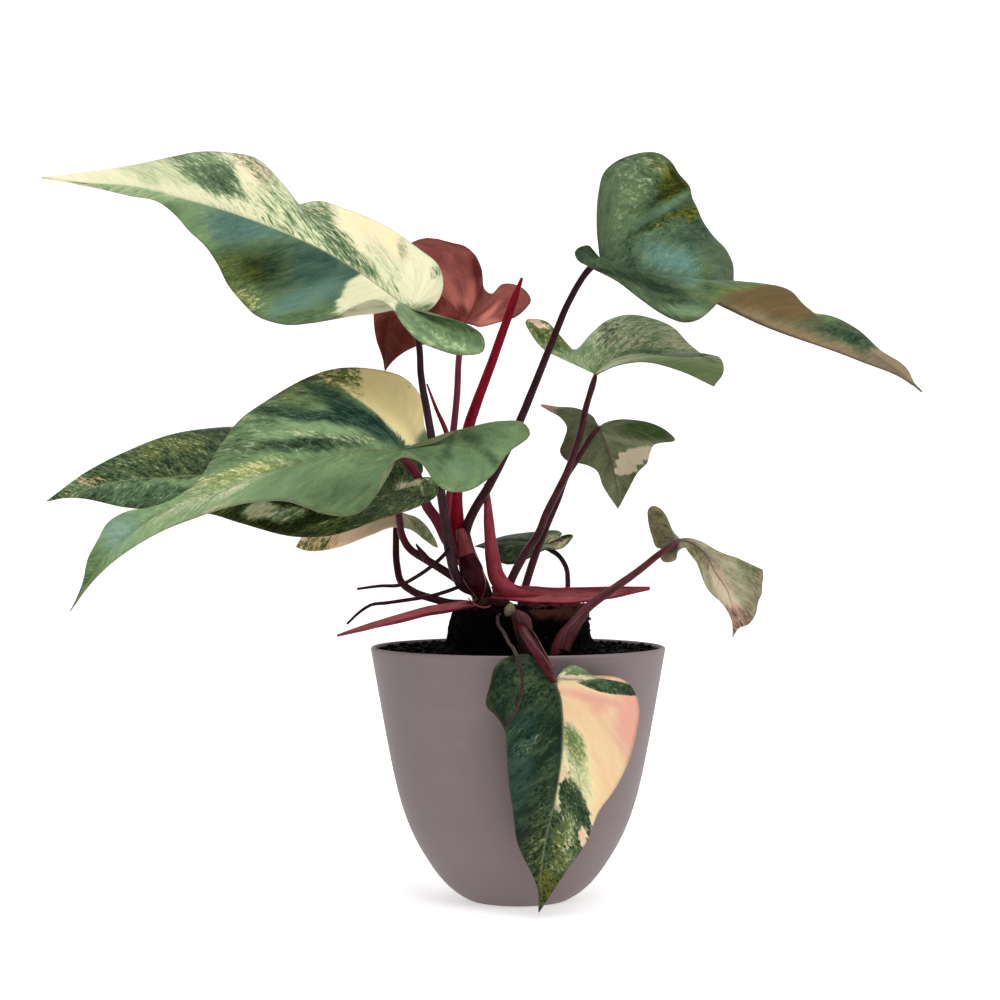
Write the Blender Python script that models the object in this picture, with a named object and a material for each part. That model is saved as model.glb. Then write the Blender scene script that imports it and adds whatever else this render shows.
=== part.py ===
"""A potted pink princess philodendron: eleven heart-shaped leaves on dark red stalks in a taupe pot.

Metres, +Z up, with the origin at the centre of the pot's base. The front of the plant looks along -Y.
"""

import bmesh
import bpy
import numpy as np

MM = 0.001

# Pot and soil, in metres
POT_RIM_RADIUS = 0.075
POT_HEIGHT = 0.1285
POT_WALL = 0.0022
POT_BASE_RADIUS = 0.0245
POT_BASE_BEVEL = 0.003
POT_SIDES = 48
SOIL_SIDES = 36
SOIL_GAP = 0.0004
SOIL_BELOW_RIM = 0.0015
SOIL_RINGS = (0, 0.010, 0.019, 0.027, 0.0325, 0.0352, 0.038, 0.045, 0.055, 0.065)
SOIL_RELIEF = 0.0008
SOIL_RIPPLES = (410, 370)
MOUND_RADIUS = 0.0355
MOUND_RISE = 0.0205
MOUND_LEAN = 0.0022
MOUND_SLOPE = 0.12
MOUND_LOBES = (0.03, 0.02)

# The pot's side: heights as shares of its height, and outer radii as shares of the rim's
POT_SIDE_HEIGHTS = (0.054, 0.101, 0.156, 0.226, 0.304, 0.389, 0.49, 0.623, 0.817)
POT_SIDE_RADII = (0.473, 0.547, 0.613, 0.685, 0.747, 0.797, 0.841, 0.887, 0.947)

# Blades and stalks, in metres
BLADE_THICKNESS = 0.0008
BLADE_ARCH = 0.08
VEIN_SWEEP = 0.75
STALK_SETBACK = 0.0013
STALK_NECK = 0.004
STALK_NECK_SHARE = 0.62
JOINT_GAP = 0.00035
STALK_SIDES_RESOLUTION = 2
SHEATH_THICKNESS = 0.0011

# Roughness of the plain finishes
LEAF_ROUGHNESS = 0.42
STALK_ROUGHNESS = 0.38
POT_ROUGHNESS = 0.5
SOIL_ROUGHNESS = 0.95

# The points of the leaves and stalks are sights from a fixed eye in front of the pot: across and down in a
# square view of 1000 by 1000, and the depth behind the pot's axis in millimetres.
EYE_RIGHT = -0.0092
EYE_HEIGHT = 0.203
EYE_DISTANCE = 1.146
VIEW_FOCAL = 2246
VIEW_CENTRE = 500


# Leaf blades: each edge runs from the notch at the stalk, round the lobe, to the tip
LEAVES = {
    "upper_left": {
        "midrib": ((410, 309, -18), (340, 259, -14), (247, 218, -8), (168, 195, 0), (137, 187, 3),
            (89, 183, 8), (42, 178, 12)),
        "left_edge": ((425, 314, -24), (445, 318, -30), (468, 325, -34), (484, 338, -36),
            (484, 350, -38), (462, 355, -43), (440, 350, -50), (418, 340, -55), (402, 323, -56),
            (390, 306, -57), (377, 300, -56), (355, 306, -50), (335, 317, -42), (310, 323, -28),
            (280, 324, -18), (255, 315, -14), (240, 300, -12), (228, 285, -12), (218, 265, -10),
            (205, 246, -8), (190, 232, -6), (175, 215, -4), (160, 203, -4), (130, 196, 2), (90, 187, 8)),
        "right_edge": ((424, 312, -8), (443, 283, 12), (438, 265, 18), (420, 250, 22), (385, 226, 26),
            (345, 209, 26), (318, 201, 26), (295, 204, 30), (283, 190, 34), (272, 172, 34),
            (255, 158, 32), (230, 153, 30), (200, 152, 28), (172, 157, 24), (140, 164, 20)),
        "colour": (163, 173, 141),
        "grid": (22, 4),
    },
    "middle_left": {
        "midrib": ((400, 450, -30), (360, 449, -33), (320, 459, -36), (254, 478, -40), (210, 497, -42),
            (168, 510, -42), (136, 530, -40), (105, 556, -37), (86, 585, -35), (70, 611, -34)),
        "left_edge": ((412, 446, -33), (432, 444, -38), (455, 433, -42), (479, 425, -46),
            (505, 421, -48), (524, 423, -49), (530, 431, -50), (507, 454, -54), (493, 474, -56),
            (461, 492, -60), (446, 490, -60), (434, 481, -58), (425, 466, -55), (414, 459, -52),
            (403, 457, -52), (393, 462, -56), (382, 474, -62), (378, 490, -66), (359, 513, -70),
            (321, 513, -74), (305, 507, -76), (290, 502, -76), (254, 502, -76), (192, 519, -66),
            (156, 534, -55), (94, 580, -39), (83, 593, -36)),
        "right_edge": ((418, 445, -22), (428, 443, -14), (424, 425, -8), (419, 394, 0), (407, 380, 3),
            (371, 369, 4), (344, 368, 3), (262, 404, -5), (240, 420, -9), (222, 443, -14),
            (192, 487, -24), (150, 508, -30), (129, 511, -31), (106, 525, -32), (99, 538, -33),
            (88, 559, -34), (83, 582, -34)),
        "colour": (118, 140, 101),
        "grid": (22, 4),
    },
    "lower_left": {
        "midrib": ((398, 492, -8), (350, 482, -4), (300, 476, 2), (172, 477, 16), (110, 483, 22),
            (75, 493, 24), (47, 501, 24)),
        "left_edge": ((405, 486, -16), (420, 478, -26), (433, 479, -33), (438, 488, -36),
            (436, 496, -38), (425, 503, -38), (380, 519, -34), (327, 536, -26), (300, 537, -22),
            (240, 523, -10), (210, 514, -4), (180, 511, 2), (129, 508, 14), (65, 498, 23)),
        "right_edge": ((412, 484, 2), (423, 470, 10), (415, 455, 18), (385, 445, 26), (330, 435, 32),
            (215, 428, 38), (174, 434, 36), (130, 450, 32), (85, 473, 28)),
        "colour": (70, 80, 43),
        "grid": (22, 4),
    },
    "pink_low_left": {
        "midrib": ((400, 512, 12), (370, 512, 22), (335, 525, 36), (296, 547, 50)),
        "left_edge": ((410, 514, 8), (425, 524, 2), (437, 548, -4), (425, 540, -4), (412, 530, -5),
            (396, 527, -2), (371, 535, 8), (336, 548, 24), (303, 550, 44)),
        "right_edge": ((408, 505, 22), (400, 498, 34), (370, 495, 46), (330, 508, 56), (308, 528, 56)),
        "colour": (211, 187, 165),
        "grid": (13, 3),
    },
    "young_red": {
        "midrib": ((465, 323, 34), (445, 300, 38), (420, 288, 40), (398, 300, 38), (386, 330, 34),
            (385, 371, 30)),
        "left_edge": ((455, 335, 26), (440, 342, 20), (417, 346, 18), (391, 363, 26)),
        "right_edge": ((477, 327, 28), (499, 322, 22), (517, 316, 22), (526, 308, 24), (531, 300, 28),
            (525, 290, 32), (501, 285, 40), (492, 294, 44), (485, 290, 48), (481, 268, 54),
            (474, 254, 57), (464, 246, 58), (452, 243, 59), (427, 238, 59), (395, 255, 55),
            (380, 280, 48), (377, 341, 35), (382, 356, 32)),
        "colour": (125, 65, 56),
        "grid": (13, 3),
    },
    "upper_right": {
        "midrib": ((600, 258, 6), (623, 268, 2), (674, 288, 2), (698, 293, 8), (722, 304, 16),
            (757, 321, 26), (858, 359, 47), (908, 381, 54), (922, 392, 56)),
        "left_edge": ((598, 243, 14), (597, 213, 24), (599, 191, 32), (604, 173, 38), (626, 157, 46),
            (662, 155, 50), (672, 163, 50), (678, 173, 50), (690, 188, 52), (692, 198, 52),
            (697, 208, 52), (702, 220, 52), (713, 236, 53), (726, 250, 54), (732, 262, 55),
            (736, 292, 57), (750, 302, 59), (780, 308, 62), (815, 314, 64), (826, 315, 65),
            (858, 330, 64), (880, 350, 60), (907, 369, 57), (915, 384, 56)),
        "right_edge": ((595, 252, 0), (590, 246, -6), (575, 253, -18), (578, 260, -22),
            (588, 266, -26), (620, 283, -36), (638, 297, -38), (668, 317, -39), (681, 322, -38),
            (695, 321, -35), (714, 307, -30), (722, 298, -27), (733, 292, -23), (743, 291, -18),
            (777, 286, 2), (792, 292, 10), (803, 304, 18), (815, 314, 24), (832, 336, 36),
            (843, 341, 41), (865, 347, 46), (885, 361, 50), (905, 376, 53)),
        "colour": (133, 140, 110),
        "grid": (22, 4),
    },
    "arched_right": {
        "midrib": ((595, 374, 25), (612, 366, 27), (640, 361, 30), (680, 370, 37), (714, 386, 44)),
        "left_edge": ((585, 362, 30), (560, 355, 36), (550, 353, 38), (530, 332, 39), (525, 322, 40),
            (547, 322, 45), (560, 338, 47), (574, 350, 48), (590, 335, 50), (605, 322, 53),
            (627, 315, 56), (650, 318, 58), (672, 327, 59), (690, 345, 57), (703, 356, 55),
            (712, 368, 51)),
        "right_edge": ((600, 370, 18), (625, 355, 4), (645, 353, 0), (670, 356, 0), (700, 357, 6),
            (715, 356, 12), (723, 374, 32)),
        "colour": (140, 156, 121),
        "grid": (16, 3),
    },
    "hanging_right": {
        "midrib": ((599, 427, 34), (606, 443, 38), (615, 476, 43), (618, 494, 43), (618, 509, 42)),
        "left_edge": ((596, 420, 38), (575, 408, 46), (558, 407, 50), (540, 405, 53), (549, 411, 50),
            (560, 417, 48), (567, 427, 47), (564, 440, 46), (560, 452, 46), (566, 460, 46),
            (578, 463, 46), (589, 466, 45), (597, 471, 45), (602, 484, 44)),
        "right_edge": ((603, 424, 38), (617, 420, 32), (669, 433, 23), (675, 439, 24), (653, 446, 31),
            (650, 453, 34), (647, 463, 36), (639, 471, 38), (628, 490, 41)),
        "colour": (61, 69, 41),
        "grid": (16, 3),
    },
    "low_right": {
        "midrib": ((678, 541, 6), (689, 543, 8), (706, 556, 12), (712, 568, 14), (728, 594, 18),
            (732, 610, 19), (733, 637, 18)),
        "left_edge": ((676, 548, 2), (660, 556, -6), (663, 561, -7), (675, 560, -6), (678, 551, -3),
            (688, 548, 2), (695, 552, 2), (698, 559, 1), (702, 568, 1), (703, 578, 2), (712, 594, 7),
            (722, 603, 11), (733, 625, 16)),
        "right_edge": ((679, 538, 12), (674, 533, 18), (670, 526, 20), (666, 516, 22), (659, 508, 22),
            (653, 506, 22), (648, 510, 20), (648, 518, 18), (652, 536, 14), (658, 548, 8),
            (668, 547, 6), (677, 540, 6), (689, 538, 12), (700, 541, 16), (720, 552, 24),
            (748, 560, 31), (759, 561, 33), (763, 577, 34), (762, 585, 33), (762, 592, 32),
            (758, 602, 30), (756, 613, 27), (749, 624, 24), (738, 629, 20)),
        "colour": (143, 137, 114),
        "grid": (16, 3),
    },
    "small_back": {
        "midrib": ((544, 545, 52), (520, 541, 50), (497, 543, 46), (475, 546, 42)),
        "left_edge": ((555, 540, 44), (566, 535, 40), (573, 535, 38), (569, 542, 36), (562, 548, 34),
            (544, 550, 33), (533, 556, 32), (506, 564, 31), (498, 561, 33), (490, 551, 37)),
        "right_edge": ((552, 540, 58), (562, 534, 64), (558, 531, 69), (535, 532, 68), (510, 535, 62)),
        "colour": (56, 58, 38),
        "grid": (13, 3),
    },
    "front": {
        "midrib": ((555, 681, -87), (561, 699, -91), (563, 725, -93), (555, 800, -89), (548, 829, -84),
            (542, 863, -75), (539, 912, -60)),
        "left_edge": ((559, 674, -84), (574, 665, -80), (584, 669, -78), (594, 676, -77),
            (605, 677, -75), (619, 678, -70), (630, 685, -67), (639, 708, -64), (637, 729, -64),
            (612, 793, -72), (600, 809, -74), (587, 840, -73), (562, 877, -67)),
        "right_edge": ((551, 678, -86), (545, 671, -84), (539, 662, -82), (532, 656, -81),
            (515, 655, -81), (496, 666, -82), (490, 685, -84), (487, 707, -86), (496, 716, -87),
            (505, 731, -88), (507, 751, -88), (509, 783, -85), (513, 810, -82), (516, 836, -79),
            (539, 897, -63)),
        "colour": (51, 67, 56),
        "grid": (22, 4),
    },
}

# Stalks, spears and roots, from the root end out, with radii in millimetres
STALKS = {
    "main_stem": {
        "route": ((490, 676, 0), (487, 625, 0), (484, 602, 1), (475, 575, 3), (466, 550, 4), (462, 529, 5)),
        "radii": (5.8, 5.7, 5.7, 5.5, 4.9, 3.8), "rings": 12, "colour": (64, 40, 42), "cut_by": ()},
    "side_shoot": {
        "route": ((528, 668, -37), (526, 645, -38), (521, 627, -37), (512, 609, -32)),
        "radii": (4.4, 4.4, 3.8, 2.0), "rings": 8, "colour": (96, 78, 72), "cut_by": ()},
    "petiole_upper_left": {
        "leaf": "upper_left",
        "route": ((474, 592, -4), (462, 586, -7), (455, 573, -11), (450, 554, -13), (446, 527, -14),
            (441, 493, -16), (436, 465, -18), (432, 440, -21), (427, 411, -23), (421, 376, -22),
            (419, 345, -19)),
        "radii": (2.4, 2.5, 2.3, 2.0, 1.7, 1.5), "rings": 18, "colour": (49, 22, 22),
        "cut_by": ("main_stem",)},
    "petiole_middle_left": {
        "leaf": "middle_left",
        "route": ((462, 562, -3), (456, 552, -5), (447, 540, -6), (437, 520, -4), (427, 506, -4),
            (422, 490, -8), (417, 476, -15), (408, 463, -23)),
        "radii": (3.0, 2.8, 2.4, 1.9), "rings": 14, "colour": (90, 45, 52),
        "cut_by": ("main_stem", "petiole_upper_left")},
    "petiole_young_red": {
        "leaf": "young_red",
        "route": ((463, 548, 6), (459, 534, 11.5), (454, 515, 15.5), (450, 490, 18), (450, 460, 19),
            (453, 433, 22), (457, 393, 28), (459, 356, 34)),
        "setback": 0.0016,
        "radii": (2.0, 1.9, 1.8, 1.6), "rings": 14, "colour": (94, 33, 50),
        "cut_by": ("main_stem", "spear_tall")},
    "spear_tall": {
        "route": ((464, 552, 4), (458, 530, 5), (456, 510, 6), (458, 470, 8), (468, 430, 9), (493, 360, 11),
            (522, 278, 14)),
        "radii": (4.2, 4.2, 3.9, 3.4, 2.8, 2.2, 0.6), "rings": 14, "colour": (119, 23, 37),
        "cut_by": ("main_stem",)},
    "spear_short": {
        "route": ((446, 524, -13), (448, 508, -9.5), (450, 488, -5), (450, 465, -1), (447, 434, 4),
            (436, 408, 3), (427, 384, 2)),
        "radii": (1.6, 1.9, 1.4, 0.5), "rings": 10, "colour": (115, 43, 58),
        "cut_by": ("petiole_upper_left",)},
    "petiole_upper_right": {
        "leaf": "upper_right",
        "route": ((464, 545, 0), (466, 530, 1), (472, 515, 3), (488, 488, 6), (515, 433, 10), (535, 385, 12),
            (553, 340, 12), (570, 300, 10), (588, 271, 8)),
        "radii": (2.6, 2.4, 2.2, 1.9, 1.7), "rings": 16, "colour": (54, 27, 32),
        "cut_by": ("main_stem", "spear_tall")},
    "petiole_lower_left": {
        "leaf": "lower_left",
        "route": ((472, 588, 3), (458, 580, 2), (443, 570, 1), (425, 559, 0), (411, 550, -2), (402, 535, -8),
            (399, 515, -11)),
        "radii": (2.2, 2.1, 1.9, 1.6), "rings": 13, "colour": (80, 34, 44),
        "cut_by": ("main_stem", "petiole_upper_left")},
    "petiole_small_left": {
        "leaf": "pink_low_left",
        "route": ((480, 606, 4), (466, 604, 1), (450, 603, -4), (434, 599, -8), (414, 592, -10),
            (402, 583, -6), (397, 565, 0), (396, 545, 6), (397, 525, 10)),
        "setback": 0.0022,
        "radii": (2.1, 2.0, 1.8, 1.6), "rings": 15, "colour": (70, 30, 36), "cut_by": ("main_stem",)},
    "petiole_right": {
        "leaf": "arched_right",
        "route": ((500, 650, 8), (503, 620, 8), (508, 590, 10), (524, 556, 14), (539, 533, 16),
            (546, 515, 17), (558, 491, 19), (566, 475, 20), (575, 451, 21), (581, 432, 21), (586, 408, 22),
            (592, 388, 23)),
        "setback": 0.0011,
        "radii": (2.5, 2.4, 2.1, 1.9, 1.6), "rings": 18, "colour": (70, 40, 44), "cut_by": ("main_stem",)},
    "petiole_right_hanging": {
        "leaf": "hanging_right",
        "route": ((515, 650, 16), (519, 618, 17), (525, 589, 19), (534, 560, 23), (546, 528, 26),
            (558, 500, 28), (568, 474, 30), (576, 462, 31), (584, 449, 31), (592, 436, 31)),
        "radii": (2.3, 2.2, 1.8, 1.4), "rings": 16, "colour": (70, 40, 44), "cut_by": ()},
    "petiole_low_right": {
        "leaf": "low_right",
        "route": ((556, 690, -46), (556, 665, -46), (557, 650, -46), (562, 638, -44), (571, 627, -41),
            (590, 606, -34), (615, 588, -29), (640, 570, -23), (656, 557, -17), (668, 548, -8)),
        "setback": 0.0029,
        "radii": (3.4, 3.1, 2.4, 2.0, 1.75, 1.5), "rings": 18, "colour": (75, 42, 48), "cut_by": ()},
    "petiole_small_back": {
        "leaf": "small_back",
        "route": ((565, 650, 16), (566, 622, 18), (566, 603, 24), (568, 584, 34), (566, 567, 42),
            (558, 555, 48)),
        "radii": (1.6, 1.5, 1.2), "rings": 14, "colour": (70, 34, 40), "cut_by": ()},
    "petiole_front": {
        "leaf": "front",
        "route": ((520.5, 625, -37), (522, 629, -46), (526, 637, -62), (533, 648, -79), (541, 660, -90),
            (548, 671, -92)),
        "setback": 0.0022,
        "radii": (2.5, 2.6, 2.1, 1.3), "rings": 13, "colour": (110, 45, 62), "cut_by": ("side_shoot",)},
    "root_upper": {
        "route": ((449, 549, -17), (443, 556, -19), (428, 569, -23), (416, 577, -26), (400, 585, -28),
            (380, 586, -30), (357, 589, -30)),
        "radii": (1.0, 1.0, 0.9, 0.6), "rings": 12, "colour": (38, 24, 26),
        "cut_by": ("petiole_upper_left",)},
    "root_lower": {
        "route": ((461, 586, -10), (448, 591, -17), (435, 595, -21), (407, 600, -26), (386, 603, -30),
            (371, 605, -33), (361, 611, -35), (347, 624, -37)),
        "radii": (1.0, 1.0, 0.9, 0.6), "rings": 12, "colour": (38, 24, 26),
        "cut_by": ("petiole_upper_left",)},
    "root_hanging": {
        "route": ((503, 615, -22), (498, 616, -31), (498, 624, -40), (504, 633, -51), (509, 643, -66),
            (514, 650, -84), (519, 663, -95), (522, 681, -98), (519, 702, -99), (506, 728, -98)),
        "radii": (1.0, 0.9, 0.9, 0.6), "rings": 18, "colour": (58, 40, 34), "cut_by": ("side_shoot",)},
}

# Long bracts, open on their upper side
SHEATHS = {
    "sheath_left": {
        "route": ((480, 601, -3), (468, 601, -11), (455, 603, -18), (430, 607, -25), (400, 615, -30),
            (360, 627, -35), (337, 635, -37)),
        "radii": (3.0, 3.6, 4.0, 3.8, 3.2, 2.2, 0.6), "rings": 17, "columns": 4, "half_turn": 1.25,
        "opens": (0.1, -0.35, 1), "colour": (136, 103, 102),
        "cut_by": ("main_stem", "petiole_upper_left")},
    "sheath_right": {
        "route": ((487, 591, -3), (498, 590.5, -9), (520, 592, -15), (560, 594, -19), (600, 592, -21),
            (650, 588, -21)),
        "radii": (4.0, 4.6, 5.0, 4.8, 4.2, 2.8, 0.6), "rings": 19, "columns": 4, "half_turn": 1.25,
        "opens": (0, -0.85, 0.5), "colour": (101, 47, 45), "cut_by": ("main_stem",)},
    "sheath_upright": {
        "route": ((495, 585.5, 0), (492, 562, 2), (488.5, 530, 7), (487, 502, 12), (486, 484, 15)),
        "radii": (3.9, 3.0, 2.3, 1.7, 0.7), "rings": 14, "columns": 4, "half_turn": 1.3,
        "opens": (-0.3, 1, 0), "colour": (137, 70, 78), "cut_by": ("main_stem",)},
}


def seen(sights):
    """Places in metres of a list of sights (across, down, depth in millimetres)."""
    across, down, depth = np.array(sights, float).T
    depth = depth * MM
    scale = (EYE_DISTANCE + depth) / VIEW_FOCAL
    right = EYE_RIGHT + (across - VIEW_CENTRE) * scale
    up = EYE_HEIGHT - (down - VIEW_CENTRE) * scale
    return np.stack([right, depth, up], axis=-1)


def unit(vectors):
    return vectors / np.maximum(np.linalg.norm(vectors, axis=-1, keepdims=True), 1e-12)


def run_length(points):
    """Distance from the first point to each point along the line."""
    steps = np.linalg.norm(np.diff(points, axis=0), axis=1)
    return np.concatenate([[0], np.cumsum(steps)])


def read_line(stations, known, points):
    """Points of a line at the given stations, between known stations."""
    return np.stack([np.interp(stations, known, points[:, axis]) for axis in range(3)], axis=-1)


def smooth_line(points, count):
    """A smooth line of count points through the given ones, with each tangent set by its neighbours."""
    knots = run_length(points)
    slopes = np.diff(points, axis=0) / np.diff(knots)[:, None]
    before, after = np.diff(knots)[:-1, None], np.diff(knots)[1:, None]
    inner = (slopes[:-1] * after + slopes[1:] * before) / (before + after)
    tangents = np.concatenate([slopes[:1], inner, slopes[-1:]])
    stations = np.linspace(0, knots[-1], count)
    cell = np.clip(np.searchsorted(knots, stations, side="right") - 1, 0, len(points) - 2)
    width = (knots[cell + 1] - knots[cell])[:, None]
    t = (stations - knots[cell])[:, None] / width
    near = (2 * t**3 - 3 * t**2 + 1) * points[cell] + (t**3 - 2 * t**2 + t) * width * tangents[cell]
    far = (3 * t**2 - 2 * t**3) * points[cell + 1] + (t**3 - t**2) * width * tangents[cell + 1]
    return near + far


def coat(obj, colour, roughness):
    """Gives the object its own Principled material, from an sRGB colour of 0 to 255."""
    material = bpy.data.materials.new(obj.name)
    material.use_nodes = True
    shader = material.node_tree.nodes["Principled BSDF"]
    linear = [(c / 255 / 12.92) if c < 11 else ((c / 255 + 0.055) / 1.055) ** 2.4 for c in colour]
    shader.inputs["Base Color"].default_value = (*linear, 1)
    shader.inputs["Roughness"].default_value = roughness
    shader.inputs["Metallic"].default_value = 0
    obj.data.materials.clear()
    obj.data.materials.append(material)


def add_object(name, mesh):
    obj = bpy.data.objects.new(name, mesh)
    bpy.context.scene.collection.objects.link(obj)
    return obj


def mesh_of(name, form):
    """Turns a bmesh into a smooth-shaded mesh with its faces outward."""
    mesh = bpy.data.meshes.new(name)
    form.to_mesh(mesh)
    form.free()
    mesh.shade_smooth()
    return mesh


class Blade:
    """A leaf blade lofted from its midrib to its left and right edges, listed from the notch to the tip."""

    SAMPLES = 900
    MIDRIB_SAMPLES = 400
    NOTCH_TOLERANCE = 0.0005
    TIP_CROWDING = 1.15
    VEIN_DRAW = 0.05

    def __init__(self, midrib, left_edge, right_edge):
        self.midrib = smooth_line(midrib, self.MIDRIB_SAMPLES)
        self.midrib_run = run_length(self.midrib)
        self.length = self.midrib_run[-1]
        self.tangents = unit(np.gradient(self.midrib, axis=0))
        self.edges = [self.rooted_edge(midrib, edge) for edge in (left_edge, right_edge)]
        self.lobe_share = float(np.clip(np.mean([edge[3] for edge in self.edges]), 0.25, 0.5))

    def rooted_edge(self, midrib, edge):
        """The edge's stations and points, where its veins spring from, its lobe's end and its notch's end."""
        line = smooth_line(np.concatenate([midrib[:1], edge, midrib[-1:]]), self.SAMPLES)
        stations = run_length(line) / run_length(line)[-1]
        distances = np.linalg.norm(line[:, None] - self.midrib[None], axis=2)
        beside = self.midrib_run[distances.argmin(axis=1)]
        root = np.clip(beside - VEIN_SWEEP * distances.min(axis=1), 0, None)
        root = np.maximum.accumulate(root)
        root[-1] = self.length
        lobe_end = stations[np.nonzero(root > 1e-9)[0][0]]
        return stations, line, root, lobe_end, min(self.notch_end(stations, line), 0.8 * lobe_end)

    def notch_end(self, stations, line):
        """How far the edge runs straight out from the stalk, which the blade's first row then follows."""
        straight = [stations[1]]
        for reach in range(10, len(line) // 2, 5):
            chord = unit(line[reach] - line[0])
            offsets = line[:reach] - line[0]
            strays = offsets - (offsets @ chord)[:, None] * chord
            if np.linalg.norm(strays, axis=1).max() < self.NOTCH_TOLERANCE:
                straight.append(stations[reach])
        return straight[-1]

    def root_at(self, u):
        beyond_lobes = np.clip((u - self.lobe_share) / (1 - self.lobe_share), 0, 1)
        return self.length * beyond_lobes**self.TIP_CROWDING

    def edge_at(self, side, u):
        stations, line, root, lobe_end, notch_end = self.edges[side]
        blade_part = stations >= lobe_end
        rising_root = root[blade_part] + np.linspace(0, 1e-9, blade_part.sum())
        in_lobe = notch_end + (lobe_end - notch_end) * u / self.lobe_share
        in_blade = np.interp(self.root_at(u), rising_root, stations[blade_part])
        return read_line(np.where(u <= self.lobe_share, in_lobe, in_blade), stations, line)

    def surface(self, u, v):
        """Points at u, from the lobes at 0 to the tip at 1, and v, from the left edge -1 to the right 1."""
        rib = read_line(self.root_at(u), self.midrib_run, self.midrib)
        along = unit(read_line(self.root_at(u), self.midrib_run, self.tangents))
        left, right = self.edge_at(0, u), self.edge_at(1, u)
        upward = unit(np.cross(right - left, along))
        reach = np.where((v < 0)[:, None], left, right) - rib
        width = np.linalg.norm(reach, axis=-1, keepdims=True)
        share = np.abs(v)[:, None]
        rising = np.clip(u / self.lobe_share, 0, 1)[:, None]
        bulge = 4 * share * (1 - share) * width * rising
        return rib + reach * share + upward * bulge * BLADE_ARCH - along * bulge * self.VEIN_DRAW


def make_leaf(name, leaf):
    """One blade as a grid bent onto its guide lines, split into triangles and thickened."""
    blade = Blade(seen(leaf["midrib"]), seen(leaf["left_edge"]), seen(leaf["right_edge"]))
    rows, columns = leaf["grid"]
    form = bmesh.new()
    bmesh.ops.create_grid(form, x_segments=rows, y_segments=2 * columns, size=1)
    flat = np.array([vert.co[:2] for vert in form.verts])
    points = blade.surface((flat[:, 0] + 1) / 2, flat[:, 1])
    for vert, point in zip(form.verts, points):
        vert.co = point
    bmesh.ops.remove_doubles(form, verts=form.verts, dist=1e-5)
    bmesh.ops.triangulate(form, faces=form.faces)
    obj = add_object(name, mesh_of(name, form))
    thicken = obj.modifiers.new("Thickness", "SOLIDIFY")
    thicken.thickness = BLADE_THICKNESS
    thicken.offset = 0
    coat(obj, leaf["colour"], LEAF_ROUGHNESS)
    return blade


def shorten(points, amount):
    """The line with its last stretch taken off."""
    run = run_length(points)
    return read_line(np.linspace(0, run[-1] - amount, len(points)), run, points)


def tube_mesh(name, points, radii):
    """A tapered round stalk: a curve with its own radius at each point and filled ends."""
    curve = bpy.data.curves.new(name, "CURVE")
    curve.dimensions = "3D"
    curve.bevel_depth = 1
    curve.bevel_resolution = STALK_SIDES_RESOLUTION
    curve.use_fill_caps = True
    spline = curve.splines.new("POLY")
    spline.points.add(len(points) - 1)
    for slot, point, radius in zip(spline.points, points, radii):
        slot.co = (*point, 1)
        slot.radius = radius
    guide = add_object(name + "_guide", curve)
    graph = bpy.context.evaluated_depsgraph_get()
    mesh = bpy.data.meshes.new_from_object(guide.evaluated_get(graph))
    mesh.name = name
    bpy.data.objects.remove(guide)
    form = bmesh.new()
    form.from_mesh(mesh)
    bpy.data.meshes.remove(mesh)
    bmesh.ops.remove_doubles(form, verts=form.verts, dist=1e-6)
    bmesh.ops.recalc_face_normals(form, faces=form.faces)
    return mesh_of(name, form)


def stalk_radii(stalk, points, ends_at_leaf):
    """The radius at each point, drawn in to a short neck under a blade."""
    share = run_length(points) / run_length(points)[-1]
    known = np.linspace(0, 1, len(stalk["radii"]))
    radii = np.interp(share, known, np.array(stalk["radii"]) * MM)
    if ends_at_leaf:
        to_end = (1 - share) * run_length(points)[-1]
        radii = radii * np.interp(to_end, (0, STALK_NECK), (STALK_NECK_SHARE, 1))
    return radii


def make_stalk(name, stalk, blades):
    """One stalk, shortened a little under its blade."""
    points = smooth_line(seen(stalk["route"]), stalk["rings"])
    leaf = stalk.get("leaf")
    if leaf:
        sights = np.concatenate([seen(stalk["route"]), blades[leaf].midrib[:1]])
        points = shorten(smooth_line(sights, stalk["rings"]), stalk.get("setback", STALK_SETBACK))
    radii = stalk_radii(stalk, points, leaf is not None)
    obj = add_object(name, tube_mesh(name, points, radii))
    coat(obj, stalk["colour"], STALK_ROUGHNESS)
    sleeve = add_object(name + "_sleeve", tube_mesh(name + "_sleeve", points, radii + JOINT_GAP))
    sleeve.hide_render = True
    sleeve.display_type = "WIRE"


def make_sheath(name, sheath):
    """A long bract, open along its upper side like a gutter and drawn out to a point."""
    points = smooth_line(seen(sheath["route"]), sheath["rings"])
    share = run_length(points) / run_length(points)[-1]
    widths = np.interp(share, np.linspace(0, 1, len(sheath["radii"])), np.array(sheath["radii"]) * MM)
    along = unit(np.gradient(points, axis=0))
    outward = unit(np.cross(along, np.array(sheath["opens"], float)))
    upward = np.cross(outward, along)
    columns = sheath["columns"]
    form = bmesh.new()
    bmesh.ops.create_grid(form, x_segments=len(points) - 1, y_segments=columns, size=1)
    flat = np.array([vert.co[:2] for vert in form.verts])
    ring = np.rint((flat[:, 0] + 1) / 2 * (len(points) - 1)).astype(int)
    angle = flat[:, 1] * sheath["half_turn"]
    offset = outward[ring] * np.sin(angle)[:, None] - upward[ring] * np.cos(angle)[:, None]
    for vert, place in zip(form.verts, points[ring] + offset * widths[ring][:, None]):
        vert.co = place
    bmesh.ops.triangulate(form, faces=form.faces)
    obj = add_object(name, mesh_of(name, form))
    thicken = obj.modifiers.new("Thickness", "SOLIDIFY")
    thicken.thickness = SHEATH_THICKNESS
    thicken.offset = 0
    coat(obj, sheath["colour"], STALK_ROUGHNESS)


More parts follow.
